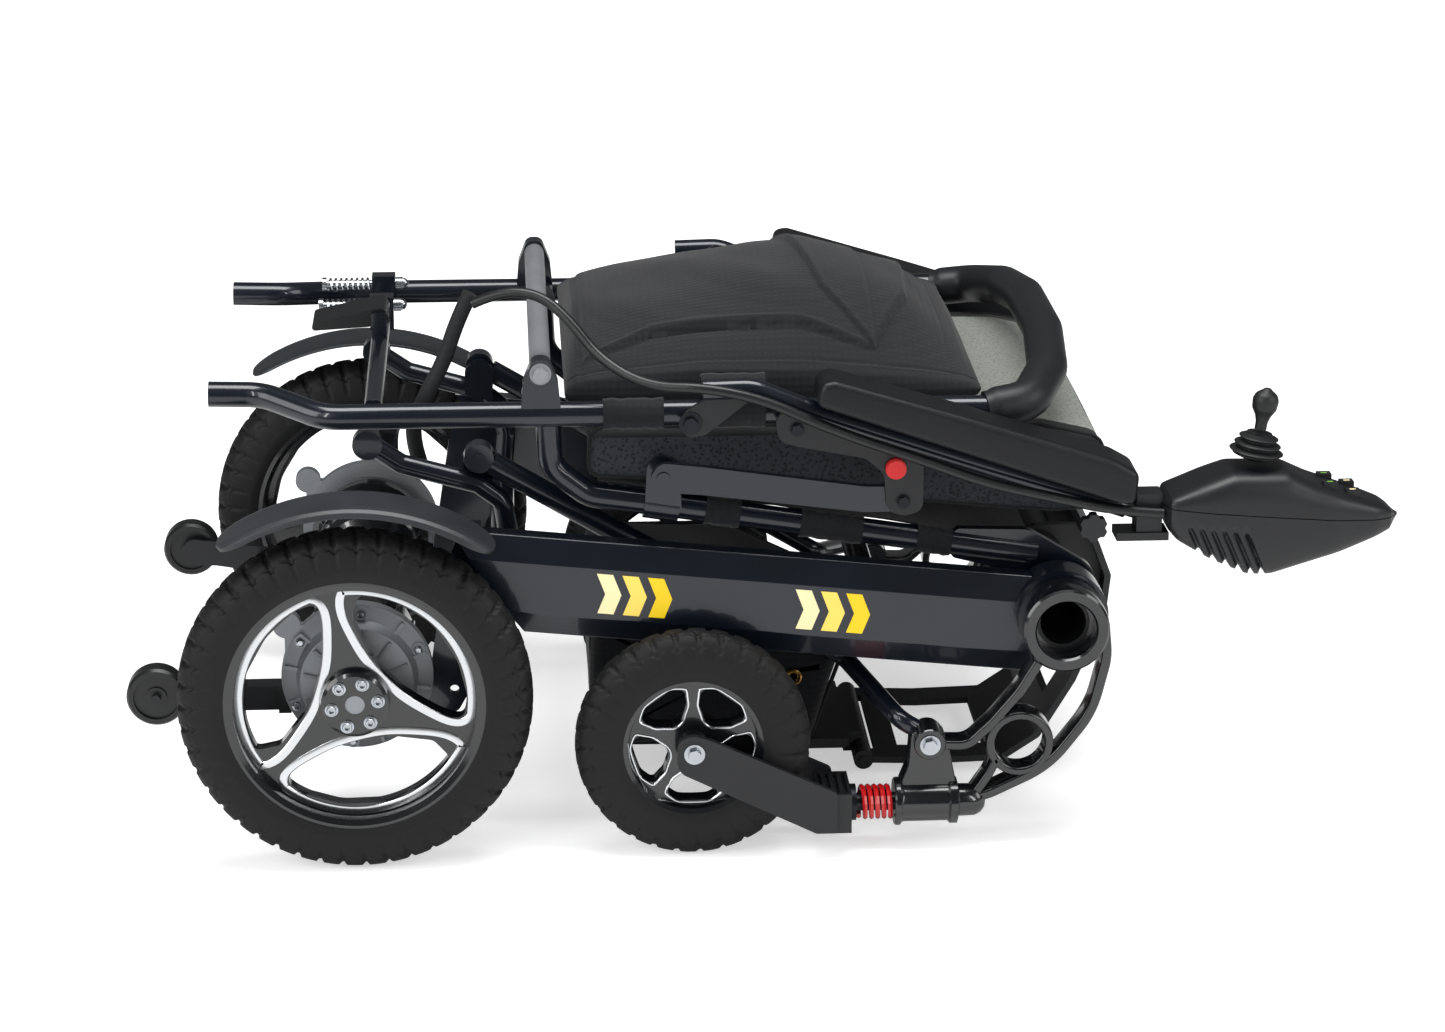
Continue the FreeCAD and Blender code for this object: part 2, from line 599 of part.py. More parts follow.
knuckles = [rod((456, y, 15), (456, y + 22, 15), 9) for y in (-92, 70)]
hinge_pin = rod((456, -94, 15), (456, 94, 15), 3.95)
hanger = panel.fuse(webs + knuckles + [hinge_pin, cross_tube])
feature("footrest_hanger", hanger.removeSplitter())
plate = doc.addObject("PartDesign::Body", "footplate_body")
tread = sketch(plate, "XY_Plane", [[(318, -78, 20), (444, -78, 4), (444, 78, 4), (318, 78, 20)],
                                   [(350, -50, 8), (410, -50, 8), (410, -14, 8), (350, -14, 8)],
                                   [(350, 14, 8), (410, 14, 8), (410, 50, 8), (350, 50, 8)]], 22)
thick = plate.newObject("PartDesign::Pad", "thickness")
thick.Profile = tread
thick.Length = 9
doc.recompute()
sleeve = rod((456, -69, 15), (456, 69, 15), 9)
bridge = box((440, -60, 12), (456, 60, 31))
footplate = solid_of(plate).fuse([sleeve, bridge]).cut(rod((456, -120, 15), (456, 120, 15), 4))
feature("footplate", footplate.removeSplitter())

# --------------------------------------------------------------------------- battery bag
bag = doc.addObject("Part::Box", "battery_pack")
bag.Length = 150
bag.Width = 284
bag.Height = 128
bag.Placement.Base = at(205, -142, 50)
soft = doc.addObject("Part::Fillet", "battery_bag_rounded")
soft.Base = bag
doc.recompute()
soft.Edges = [(i + 1, 12.0, 12.0) for i in range(12)]
bag_front = side_plate("bag_front", 1, -142, 284, [[(340, 60, 10), (340, 170, 10), (432, 130, 10), (402, 48, 10)]])
doc.recompute()
join("battery_bag", [solid_of(soft), solid_of(bag_front)])

# --------------------------------------------------------------------------------- seat
seat_plane = dim("seat_tube_plane")
seat_shapes = []
for name, side in SIDES:
    y = side * seat_plane
    seat_shapes.append(bent_tube([(169, y, 384), (171, y, 332), (204, y, 306), (265, y, 297), (596, y, 245)],
                                 11, 28))
    ring = side_plate("seat_plate_" + name, side, seat_plane - 6, 9.5,
                      [[(523, 270, 6), (589, 268, 20), (648, 232, 26), (652, 201, 36), (640, 165, 30),
                        (600, 160, 30), (574, 190, 20), (560, 234, 16), (520, 244, 6)],
                       ("circle", HUB[0], HUB[1], 26.2)])
    seat_shapes.append(solid_of(ring))
    clamp = rod((252, y, 299.5), (282, y, 294.5), 14.4)
    post_pin = rod((267, side * 199, 333), (267, side * 237, 333), 5.9)
    post_lug = side_plate("post_lug_" + name, side, 198.6, 5.4,
                          [[(252, 300), (254, 336, 10), (267, 347, 11), (281, 336, 10), (284, 296)]])
    seat_shapes += [clamp, post_pin, solid_of(post_lug)]
    back_pin = rod((169, side * 186, 386), (169, side * 203, 386), 13)
    seat_shapes.append(back_pin)
for x, z in ((230, 301), (420, 273), (560, 250)):
    seat_shapes.append(rod((x, -190, z), (x, 190, z), 8))
join("seat_frame", seat_shapes)

half = dim("cushion_half")
cushion = side_plate("cushion_block", 1, -half, 2 * half,
                     [[(204, 324, 10), (206, 366, 14), (420, 366), (600, 362, 12), (652, 350, 16),
                       (654, 288, 12), (610, 286, 10), (560, 290), (240, 322)]],
                     "2 * <<Dimensions>>.cushion_half")
publish("seat_cushion", cushion)

# --------------------------------------------------------------------------------- back
cane_plane = dim("cane_plane")
tail = dim("tail_plane")
canes = {}
cane_z = dim("cane_height")
for name, side in SIDES:
    route = [(-122, side * tail, cane_z + 11.7), (-76, side * tail, cane_z + 10.5),
             (-22, side * cane_plane, cane_z + 1), (560, side * cane_plane, cane_z)]
    cane = bent_tube(route, dim("cane_radius"), 40)
    saddle = side_plate("saddle_" + name, side, cane_plane - 9, 18,
                        [[(146, cane_z + 8), (148, cane_z + 30, 6), (156, cane_z + 51, 8),
                          (170, cane_z + 51, 8), (178, cane_z + 30, 6), (180, cane_z + 8)],
                         ("circle", 163, 425, 9.35)])
    cane = cane.fuse(solid_of(saddle))
    feature("back_cane_" + name, cane.removeSplitter())
    canes[side] = cane
bar = rod((163, -(cane_plane + 9), 425), (163, cane_plane + 9, 425), 9.3)
ends = [hex_bolt(163, side * (cane_plane + 9.05), 425, side, 12, 6, 9.3) for _, side in SIDES]
feature("back_cross_bar", bar.fuse(ends))

# Latch: a tube between the canes, a lever with a hook, and two sprung bolts.
LATCH_X = 20
LATCH_Z = 393
latch_y = cane_plane - 6
latch_tube = rod((LATCH_X, -latch_y, LATCH_Z), (LATCH_X, latch_y, LATCH_Z), 8)
latch_ears = [box((LATCH_X - 7, y - 3, LATCH_Z), (LATCH_X + 7, y + 3, LATCH_Z + 28)) for y in (4, 62)]
BOLT_PLANES = (92, 172)
bolt_z = LATCH_Z + 13
latch_blocks = [box((LATCH_X - 11, y - 9, LATCH_Z - 9), (LATCH_X + 11, y + 9, bolt_z + 9)) for y in BOLT_PLANES]
latch = latch_tube.fuse(latch_ears + latch_blocks)
latch = latch.fuse(rod((LATCH_X, 1, LATCH_Z + 22), (LATCH_X, 65, LATCH_Z + 22), 3))
for y in BOLT_PLANES:
    latch = latch.cut(rod((LATCH_X - 30, y, bolt_z), (LATCH_X + 30, y, bolt_z), 3.55))
feature("latch_cross_tube", latch.cut([canes[1], canes[-1]]).removeSplitter())
lever = side_plate("lever_body", 1, 8, 50,
                   [[(-42, 404, 3), (-40, 411, 3), (4, 421, 6), (24, 425, 6), (31, 412, 5), (10, 407, 6)]])
lever_bore = rod((LATCH_X, 0, LATCH_Z + 22), (LATCH_X, 70, LATCH_Z + 22), 3.05)
feature("latch_lever", solid_of(lever).cut(lever_bore))
latch_bolts = []
latch_springs = []
for y in BOLT_PLANES:
    shank = rod((-36, y, bolt_z), (38, y, bolt_z), 3.5)
    acorn = rod((31.3, y, bolt_z), (38, y, bolt_z), 6)
    nose = doc.addObject("Part::Sphere", "acorn_nut")
    nose.Radius = 5
    nose.Placement.Base = at(38.5, y, bolt_z)
    flange = rod((-38, y, bolt_z), (-34, y, bolt_z), 6.5)
    latch_bolts.append(shank.fuse([acorn, flange, solid_of(nose)]))
    coil = facet_coil(5.2, 1.2, 8, 40, 8)
    coil.rotate(Vector(0, 0, 0), Vector(0, 1, 0), 90)
    coil.translate(Vector(-32.6, y, bolt_z))
    latch_springs.append(coil)
group("latch_bolts", latch_bolts)
group("latch_springs", latch_springs)

# Foam grip: one bend over the ends of the canes, rising towards the middle.
grip_route = [(548, -cane_plane + 2, 384), (584, -cane_plane + 8, 389), (608, -150, 402), (616, -60, 413),
              (616, 60, 413), (608, 150, 402), (584, cane_plane - 8, 389), (548, cane_plane - 2, 384)]
grip_path = bent_path(grip_route, [30, 55, 60, 60, 55, 30])
grip = sweep_round(grip_path, dim("grip_radius"))
for _, side in SIDES:
    grip = grip.cut(canes[side])
feature("foam_grip", grip)

# Folded back fabric with its pocket, between the canes.
sling_side = side_plate("sling_side", 1, -190, 380,
                        [[(184, 378), (184, 412, 8), (240, 446), (311, 463), (402, 474), (450, 462), (493, 448),
                          (541, 404, 6), (541, 378)]])
sling_end = doc.addObject("PartDesign::Body", "sling_end")
crown = sketch(sling_end, "YZ_Plane", [[(-188, 377), (-189, 396), (-176, 412), (-130, 444), (-60, 470), (0, 477),
                                        (60, 470), (130, 444), (176, 412), (189, 396), (188, 377)]], 180)
crown_pad = sling_end.newObject("PartDesign::Pad", "crown_length")
crown_pad.Profile = crown
crown_pad.Length = 370
feature("back_sling", solid_of(sling_side).common(solid_of(sling_end)))

# ----------------------------------------------------------------------------- armrests
ARM_PIVOT = (290, 384)
POST_PIVOT = (267, 333)
POST_END = (473, 311)
arm_y = dim("arm_plane")
posts = []
plates = []
pads = []
tubes = []
arm_pins = []
for name, side in SIDES:
    post = side_plate("post_" + name, side, 227.5, 7.5,
                      [[(254, 333, 10), (264, 347, 10), (300, 343), (440, 323), (478, 322, 8), (484, 308, 8),
                        (474, 300, 8), (440, 300), (300, 318), (262, 321, 8)],
                       ("circle", POST_PIVOT[0], POST_PIVOT[1], 6.0), ("circle", POST_END[0], POST_END[1], 3.5)])
    posts.append(solid_of(post))
    plate = side_plate("arm_plate_" + name, side, 235.4, 5.5,
                       [[(278, 384, 12), (290, 397, 12), (312, 409), (340, 424, 6), (352, 412, 6), (316, 384, 8),
                         (302, 373, 8), (288, 371, 8)],
                        ("circle", ARM_PIVOT[0], ARM_PIVOT[1], 5)])
    boomerang = side_plate("arm_boomerang_" + name, side, 235.4, 5.5,
                           [[(362, 388, 8), (382, 396, 6), (420, 386), (478, 368, 8), (490, 350, 12),
                             (490, 302, 10), (474, 298, 10), (459, 302, 10), (456, 336, 10), (440, 350, 16),
                             (384, 361, 14), (366, 366, 10)],
                            ("circle", 466, 341, 9.3)])
    plates.append(solid_of(plate))
    plates.append(solid_of(boomerang))
    tube = bent_tube([(300, side * arm_y, 416), (342, side * arm_y, 417), (396, side * arm_y, 395),
                      (664, side * arm_y, 305)], 9, 40, 7)
    tubes.append(tube)
    pad = side_plate("pad_body_" + name, side, arm_y - 18, dim("pad_width"),
                     [[(394, 408, 8), (398, 428, 10), (410, 430, 10), (520, 397, 60), (650, 356, 20),
                       (671, 344, 10), (668, 316, 10), (655, 318)]], "<<Dimensions>>.pad_width")
    pad_shape = solid_of(pad)
    pads.append(pad_shape)
    button = rod((466, side * 232, 341), (466, side * 245, 341), 9)
    rim_ring = rod((466, side * 241, 341), (466, side * 246.5, 341), 8)
    feature("armrest_button_" + name, button.fuse(rim_ring))
    arm_pins.append(hex_bolt(ARM_PIVOT[0], side * 241, ARM_PIVOT[1], side, 11, 5, 10))
    arm_pins.append(hex_bolt(381, side * 241, 377, side, 9, 3, 6))
    arm_pins.append(hex_bolt(POST_END[0], side * 241, POST_END[1], side, 9, 3, 6))
group("armrest_posts", posts)
group("armrest_plates", plates)
group("armrest_tubes", tubes)
group("armrest_pads", pads)
group("armrest_bolts", arm_pins)

# ----------------------------------------------------------------------------- joystick
joy_y = -arm_y
JOY_TILT = -2.0
lower = side_plate("joystick_lower", -1, arm_y - 34, 68,
                   [[(693, 296, 8), (706, 280, 12), (736, 262, 20), (770, 248, 10), (786, 249, 10), (850, 268, 60),
                     (894, 284, 8), (899, 291, 3), (893, 296), (700, 312, 6)]])
upper = side_plate("joystick_upper", -1, arm_y - 36, 72,
                   [[(697, 313), (700, 321, 3), (730, 334, 20), (752, 343, 10), (800, 342, 14),
                     (822, 331, 20), (886, 308, 14), (896, 297, 2)]])
plan = doc.addObject("PartDesign::Body", "joystick_plan")
plan_sketch = sketch(plan, "XY_Plane", [[(690, joy_y - 22), (700, joy_y - 31, 8), (735, joy_y - 36, 40), (842, joy_y - 35, 40),
                                         (878, joy_y - 26, 30), (901, joy_y - 9, 10), (901, joy_y + 9, 10),
                                         (878, joy_y + 26, 30), (842, joy_y + 35, 40), (735, joy_y + 36, 40),
                                         (700, joy_y + 31, 8), (690, joy_y + 22)]], 200)
plan_pad = plan.newObject("PartDesign::Pad", "plan_height")
plan_pad.Profile = plan_sketch
plan_pad.Length = 200
plan_shape = solid_of(plan)
lower_shape = solid_of(lower).common(plan_shape)
for k in range(6):
    slot = box((742 + 9 * k, joy_y - 40, 244), (746 + 9 * k, joy_y - 22, 276))
    slot.rotate(Vector(744 + 9 * k, joy_y, 258), Vector(0, 1, 0), -25)
    lower_shape = lower_shape.cut(slot)
feature("joystick_lower_shell", lower_shape)
upper_shape = solid_of(upper).common(plan_shape)
well = rod((775, joy_y, 330), (770, joy_y, 350), 14)
upper_shape = upper_shape.cut(well)
key_places = [(838, joy_y - 13), (838, joy_y + 13), (858, joy_y - 13), (858, joy_y + 13)]
keys = []
for x, y in key_places:
    z = 331 - 0.36 * (x - 822)
    keys.append(box((x - 6, y - 5, z - 2), (x + 6, y + 5, z + 4)))
    upper_shape = upper_shape.cut(box((x - 6.3, y - 5.3, z - 4.5), (x + 6.3, y + 5.3, z + 12)))
feature("joystick_upper_shell", upper_shape)
group("joystick_keys", keys)
gaiter = doc.addObject("PartDesign::Body", "gaiter_body")
gaiter_profile = [(0, 3), (8, 3), (23, 9), (24, 11), (18, 12), (21, 15), (15, 17), (18, 20), (12, 22),
                  (15, 25), (8, 28), (0, 28)]
gaiter_sketch = sketch(gaiter, "XZ_Plane", [gaiter_profile])
gaiter_turn = gaiter.newObject("PartDesign::Revolution", "bellows")
gaiter_turn.Profile = gaiter_sketch
gaiter_turn.ReferenceAxis = (gaiter_sketch, ["V_Axis"])
gaiter_turn.Angle = 360
doc.recompute()
gaiter_shape = solid_of(gaiter)
lean = Rotation(Vector(0, 1, 0), 8)
place = FreeCAD.Placement(at(774, joy_y, 343), lean)
gaiter_shape.Placement = place
feature("joystick_gaiter", gaiter_shape)
stick = doc.addObject("PartDesign::Body", "stick_body")
stick_sketch = sketch(stick, "XZ_Plane", [[(0, 31), (5, 31), (6, 40), (10, 48), (11, 58), (7, 65), (0, 67)]])
stick_turn = stick.newObject("PartDesign::Revolution", "knob")
stick_turn.Profile = stick_sketch
stick_turn.ReferenceAxis = (stick_sketch, ["V_Axis"])
stick_turn.Angle = 360
doc.recompute()
stick_shape = solid_of(stick)
stick_shape.Placement = place
feature("joystick_stick", stick_shape)
bracket_rod = rod((600, joy_y, 305 + 0.3358 * 64), (676, joy_y, 305 - 0.3358 * 12), 6.9)
clamp_block = box((672, joy_y - 12, 286), (694, joy_y + 12, 320))
under_plate = box((655, joy_y - 14, 279), (700, joy_y + 14, 286))
bracket = bracket_rod.fuse([clamp_block, under_plate])
bracket = bracket.cut(solid_of(lower)).cut(upper_shape)
feature("joystick_bracket", bracket)
knob_shape = rod((634, joy_y - 20, 293), (634, joy_y - 10, 293), 12)
for k in range(6):
    turn = math.radians(60 * k)
    flute = rod((634 + 14 * math.cos(turn), joy_y - 30, 293 + 14 * math.sin(turn)),
                (634 + 14 * math.cos(turn), joy_y, 293 + 14 * math.sin(turn)), 4)
    knob_shape = knob_shape.cut(flute)
knob_shape = knob_shape.fuse(rod((634, joy_y - 12, 293), (634, joy_y - 2, 293), 4))
feature("bracket_knob", knob_shape)

# -------------------------------------------------------------------------------- cable


def cord(label, route, radius):
    """Plain cord: straight runs joined by the largest tangent arcs they allow."""
    points = [Vector(*p) for p in route]
    radii = []
    for before, corner, after in zip(points, points[1:], points[2:]):
        inward = before - corner
        onward = after - corner
        half = inward.getAngle(onward) / 2
        shorter = min(inward.Length, onward.Length)
        radii.append(0.45 * shorter * math.tan(half))
    path = bent_path(route, radii)
    solid = sweep_round(path, radius)
    expected = math.pi * radius * radius * path.Length
    print(label, "length", round(path.Length), "least radius", round(min(radii), 1),
          "volume ratio", round(solid.Volume / expected, 4))
    return feature(label, solid)


CABLE = [(694, -268.5, 305), (652, -268.5, 308), (596, -270, 322), (540, -269, 335), (486, -268, 356),
         (440, -268, 372), (396, -269, 390), (352, -268, 411), (302, -268, 423), (254, -252, 420),
         (214, -226, 437), (190, -208, 466), (164, -193, 487), (130, -184, 488), (106, -180, 476)]
cord("joystick_cable", CABLE, dim("cable_radius"))
LOOM = [(104, -120, 470), (92, -120, 446), (80, -124, 410), (62, -128, 378), (48, -118, 346), (56, -100, 312)]
cord("cable_loom", LOOM, 7.0)

# ------------------------------------------------------------------------ final placing
doc.recompute()
shift = FreeCAD.Placement(at(dim("axle_from_middle"), 0, 0), Rotation())
for piece in pieces:
    piece.Placement = shift.multiply(piece.Placement)
doc.recompute()
for obj in doc.Objects:
    if {"Invalid", "Error"} & set(obj.State):
        raise RuntimeError(f"{obj.Label} did not build: {obj.State}")
os.makedirs("parts", exist_ok=True)
for piece in pieces:
    shape = piece.Shape
    if shape.isNull() or not shape.isValid():
        raise RuntimeError(f"{piece.Label} has no valid shape")
    shape.exportStep(f"parts/{piece.Label}.step")
print(len(pieces), "pieces")
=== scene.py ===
import math

import bmesh
import bpy
import numpy as np
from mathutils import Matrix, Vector


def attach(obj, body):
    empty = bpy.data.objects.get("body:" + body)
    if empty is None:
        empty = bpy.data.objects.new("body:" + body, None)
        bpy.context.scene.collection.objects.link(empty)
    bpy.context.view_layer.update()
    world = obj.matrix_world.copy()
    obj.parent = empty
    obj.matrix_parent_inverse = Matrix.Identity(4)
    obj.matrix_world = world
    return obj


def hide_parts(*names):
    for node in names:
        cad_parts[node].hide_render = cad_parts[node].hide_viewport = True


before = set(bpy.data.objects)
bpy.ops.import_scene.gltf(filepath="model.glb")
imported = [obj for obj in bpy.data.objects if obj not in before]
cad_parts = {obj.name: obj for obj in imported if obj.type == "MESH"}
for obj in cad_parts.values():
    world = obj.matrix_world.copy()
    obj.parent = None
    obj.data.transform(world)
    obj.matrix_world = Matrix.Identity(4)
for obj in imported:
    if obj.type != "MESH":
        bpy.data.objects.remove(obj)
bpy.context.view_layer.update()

# Every place below is in millimetres: x ahead of the drive axle, y to the left, z above the floor.
AXLE_X = -350.0
SIDES = (("right", -1), ("left", 1))
DRIVE_HUB = (0.0, 152.5)
CASTER_HUB = (290.0, 102.5)


def metres(points):
    """Millimetres from the drive axle turned to metres in the frame's own place."""
    return (np.asarray(points, float) + np.array([AXLE_X, 0.0, 0.0])) * 0.001


# ------------------------------------------------------------------------- finishes
def shade(hex_colour):
    """An sRGB hex colour as linear light: each channel above 0.04045 is ((c + 0.055) / 1.055) ^ 2.4."""
    channels = [int(hex_colour[i:i + 2], 16) / 255 for i in (1, 3, 5)]
    return (*[c / 12.92 if c <= 0.04045 else ((c + 0.055) / 1.055) ** 2.4 for c in channels], 1.0)


def add(tree, kind, links=None, **settings):
    """Adds a node of a kind, with its settings, and each input set to a value or linked to an output."""
    node = tree.nodes.new("ShaderNode" + kind)
    for key, value in settings.items():
        setattr(node, key, value)
    for key, value in (links or {}).items():
        if isinstance(value, bpy.types.NodeSocket):
            tree.links.new(value, node.inputs[key])
        else:
            node.inputs[key].default_value = value
    return node


def finish(name, colour, roughness, metallic, pattern, bump, depth, wear, spread=0.0, **shader):
    """A finish: one shader, a height pattern for its bump, a colour that wanders between two shades in soft
    clouds, a painted highlight colour laid on the pattern's raised parts where the pattern gives one, and a
    roughness that wanders by a spread each way."""
    made = bpy.data.materials.new(name)
    made.use_nodes = True
    tree = made.node_tree
    tree.nodes.clear()
    out = add(tree, "OutputMaterial")
    skin = add(tree, "BsdfPrincipled", {"Roughness": roughness, "Metallic": metallic,
                                        "Base Color": shade(colour)})
    for key, value in shader.items():
        skin.inputs[key.replace("_", " ")].default_value = value
    tree.links.new(skin.outputs[0], out.inputs[0])
    place = add(tree, "TexCoord").outputs["Object"]
    cloud = add(tree, "TexNoise", {"Vector": place, "Scale": 14.0, "Detail": 5.0, "Roughness": 0.6})
    mixed = add(tree, "Mix", {"Factor": cloud.outputs[0], "A": shade(colour), "B": shade(wear)},
                data_type="RGBA")
    tree.links.new(mixed.outputs["Result"], skin.inputs["Base Color"])
    if spread:
        rough = add(tree, "MapRange", {"Value": cloud.outputs[0], "To Min": roughness - spread,
                                       "To Max": roughness + spread})
        tree.links.new(rough.outputs[0], skin.inputs["Roughness"])
    height, raised_highlight = pattern(tree, place)
    relief = add(tree, "Bump", {"Height": height, "Strength": bump, "Distance": depth})
    tree.links.new(relief.outputs[0], skin.inputs["Normal"])
    # Where the pattern gives a highlight colour, its raised parts are painted lighter: a painted highlight,
    # with the hollows left in painted shade.
    if raised_highlight is not None:
        raised = add(tree, "Mix", {"Factor": raised_highlight[0], "A": mixed.outputs["Result"], "B": shade(raised_highlight[1])},
                     data_type="RGBA")
        tree.links.new(raised.outputs["Result"], skin.inputs["Base Color"])
    return made


def grains(size, detail=3.0):
    """Pattern of soft grains of a size in millimetres."""
    def draw(tree, place):
        noise = add(tree, "TexNoise", {"Vector": place, "Scale": 1000.0 / size, "Detail": detail})
        return noise.outputs[0], None
    return draw


def cells(size, raised_highlight=None, level=(0.0, 0.5)):
    """Pattern of pebbles, pores or mesh holes a size in millimetres apart, with a painted highlight colour
    towards their rims, so the pores stand in painted shade.
    """
    def draw(tree, place):
        pebble = add(tree, "TexVoronoi", {"Vector": place, "Scale": 1000.0 / size})
        height = add(tree, "MapRange", {"Value": pebble.outputs["Distance"], "From Min": level[0],
                                        "From Max": level[1]}).outputs[0]
        return height, (None if raised_highlight is None else (height, raised_highlight))
    return draw


def weave(spacing, raised_highlight=None):
    """Plain weave, its ribs a spacing in millimetres apart: the height is the product of the waves along x
    and y, which wander a little, plus the wave along z. A wave node turns 20 radians a metre at scale 1. A
    highlight colour is painted where the x and y waves cross high, on the raised crossings."""
    scale = 2 * math.pi * 1000.0 / spacing / 20.0

    def draw(tree, place):
        waves = []
        for axis in ("X", "Y"):
            wave = add(tree, "TexWave", {"Vector": place, "Scale": scale, "Distortion": 0.6, "Detail": 1.0,
                                         "Detail Scale": 2.0}, wave_type="BANDS", bands_direction=axis)
            waves.append(wave.outputs["Fac"])
        upright = add(tree, "TexWave", {"Vector": place, "Scale": scale}, wave_type="BANDS",
                      bands_direction="Z")
        crossed = add(tree, "Math", {0: waves[0], 1: waves[1]}, operation="MULTIPLY")
        both = add(tree, "Math", {0: crossed.outputs[0], 1: upright.outputs["Fac"]}, operation="ADD")
        return both.outputs[0], (None if raised_highlight is None else (crossed.outputs[0], raised_highlight))
    return draw


# Polyester powder coat in deep blue-black with mica: a gloss skin over fine flakes.
powder_coat = finish("navy_mica_powder_coat", "#080C13", 0.30, 0.35, grains(0.5, 2.0), 0.05, 0.0002,
                     "#111926", 0.05, Coat_Weight=0.7, Coat_Roughness=0.08)
# Gloss enamel over cast alloy: deep black with sharp reflections and a faint orange peel.
cast_enamel = finish("gloss_black_enamel", "#0A0B0D", 0.22, 0.0, grains(2.5, 1.0), 0.04, 0.0003,
                     "#101216", 0.04, Coat_Weight=0.8, Coat_Roughness=0.05)
# Satin powder coat on pressed plates: a fine even texture that scatters light.
satin_coat = finish("satin_black_powder_coat", "#0D0E10", 0.45, 0.0, grains(0.8), 0.12, 0.0002, "#1C1D20",
                    0.05)
# Bright zinc plating on steel fasteners: cool silver, lightly clouded.
zinc_plate = finish("zinc_plated_steel", "#C9CDD2", 0.26, 1.0, grains(1.0), 0.04, 0.0001, "#A9AFB6", 0.06)
# Black oxide on screws and stems: dark metal with a slight oil sheen.
black_oxide = finish("black_oxide_steel", "#26272A", 0.38, 0.9, grains(0.7), 0.05, 0.0001, "#34363A", 0.05)
# Die-cast aluminium, bead blasted: light grey and grainy.
blasted_alloy = finish("blasted_cast_aluminium", "#8E9195", 0.5, 0.75, grains(0.9, 4.0), 0.25, 0.0003,
                       "#A5A8AC", 0.06)
# Machined bright aluminium: nearly white metal, faintly grained by the tool.
machined_alloy = finish("machined_bright_aluminium", "#E4E6E8", 0.2, 1.0, grains(0.6), 0.04, 0.0001,
                        "#D2D5D8", 0.04)
# Anodised aluminium tube: grey, softly shining.
anodised_tube = finish("anodised_aluminium_tube", "#9A9CA0", 0.34, 0.35, grains(0.6), 0.06, 0.0001,
                       "#77797D", 0.05)
# Vulcanised rubber: carbon black, dull, with a dusty bloom.
tyre_rubber = finish("vulcanised_black_rubber", "#0B0B0C", 0.6, 0.0, grains(1.2, 4.0), 0.25, 0.0003,
                     "#131314", 0.08, Specular_IOR_Level=0.32)
# Moulded nylon rollers: even black with a satin sheen.
satin_nylon = finish("moulded_black_nylon", "#0F1011", 0.36, 0.0, grains(1.0), 0.06, 0.0001, "#17181A", 0.05)
# Injection moulded polypropylene with a spark-eroded texture: matt charcoal.
textured_pp = finish("textured_polypropylene", "#191B1E", 0.4, 0.0, grains(0.7), 0.2, 0.0002, "#35373B", 0.06)
# Woven nylon canvas, about 0.6 mm a thread, its ribs drawn 6.3 mm apart so that they show, with a painted
# highlight on the raised crossings of its weave.
canvas = finish("woven_nylon_canvas", "#0D0E11", 0.8, 0.0, weave(6.317, "#14161A"), 0.5, 0.0004, "#121317",
                0.05, Sheen_Weight=0.12, Sheen_Roughness=0.5, Specular_IOR_Level=0.25)
# Woven polyester webbing and binding tape, about 1 mm a rib, drawn 8.7 mm apart so that the ribs show.
webbing = finish("ribbed_polyester_tape", "#0A0B0D", 0.72, 0.0, weave(8.686), 0.6, 0.0004, "#111214", 0.05,
                 Sheen_Weight=0.1, Specular_IOR_Level=0.25)
# Warp-knitted spacer mesh in grey, with open pores about 3 mm apart, the pores' rims painted lighter as a
# painted highlight.
grey_mesh = finish("grey_spacer_mesh", "#5C5F5B", 0.8, 0.0, cells(3.0, "#868983"), 0.7, 0.0008, "#52554F",
                   0.05, Sheen_Weight=0.1, Specular_IOR_Level=0.25)
# The same knit in black on the cushion's sides, with pores about 3.6 mm apart, their rims painted lighter as
# a painted highlight.
black_mesh = finish("black_spacer_mesh", "#030304", 0.78, 0.0, cells(3.6, "#2B2D31"), 0.8, 0.0010, "#060607",
                    0.05, Specular_IOR_Level=0.2)
# Nitrile foam tube: closed cells under a matt skin.
nitrile_foam = finish("nitrile_foam_tube", "#1D1E21", 0.42, 0.0, grains(1.6, 5.0), 0.35, 0.0004, "#18191B",
                      0.06, Specular_IOR_Level=0.35)
# Vinyl with an embossed leather grain over moulded foam.
grained_vinyl = finish("grained_vinyl", "#0C0D0F", 0.42, 0.0, cells(1.7, level=(0.0, 0.45)), 0.3, 0.0003,
                       "#121316", 0.05, Specular_IOR_Level=0.35)
# Gloss red enamel on spring wire.
red_enamel = finish("red_spring_enamel", "#C81418", 0.25, 0.0, grains(1.5), 0.03, 0.0001, "#B50F14", 0.03,
                    Coat_Weight=0.5)
# Red ABS: moulded, satin.
red_abs = finish("moulded_red_abs", "#D01A1C", 0.35, 0.0, grains(1.5), 0.03, 0.0001, "#C01517", 0.03)
# Black ABS with a fine spark-eroded texture.
black_abs = finish("textured_black_abs", "#0D0E10", 0.42, 0.0, grains(0.6), 0.15, 0.00015, "#191A1D", 0.05)
# Silicone rubber: soft black with a slight bloom.
silicone = finish("black_silicone", "#0A0B0C", 0.5, 0.0, grains(0.8), 0.08, 0.0001, "#18191B", 0.05)
# PVC cable jacket: extruded, smooth, faintly wavy.
pvc_jacket = finish("extruded_pvc_jacket", "#08090A", 0.36, 0.0, grains(3.0), 0.06, 0.0002, "#17181A", 0.05)
# Wound cloth tape over the wires, its weave drawn 7.1 mm apart so that it shows.
cloth_tape = finish("wound_cloth_tape", "#0C0D0F", 0.72, 0.0, weave(7.106), 0.4, 0.0003, "#16171A", 0.05)
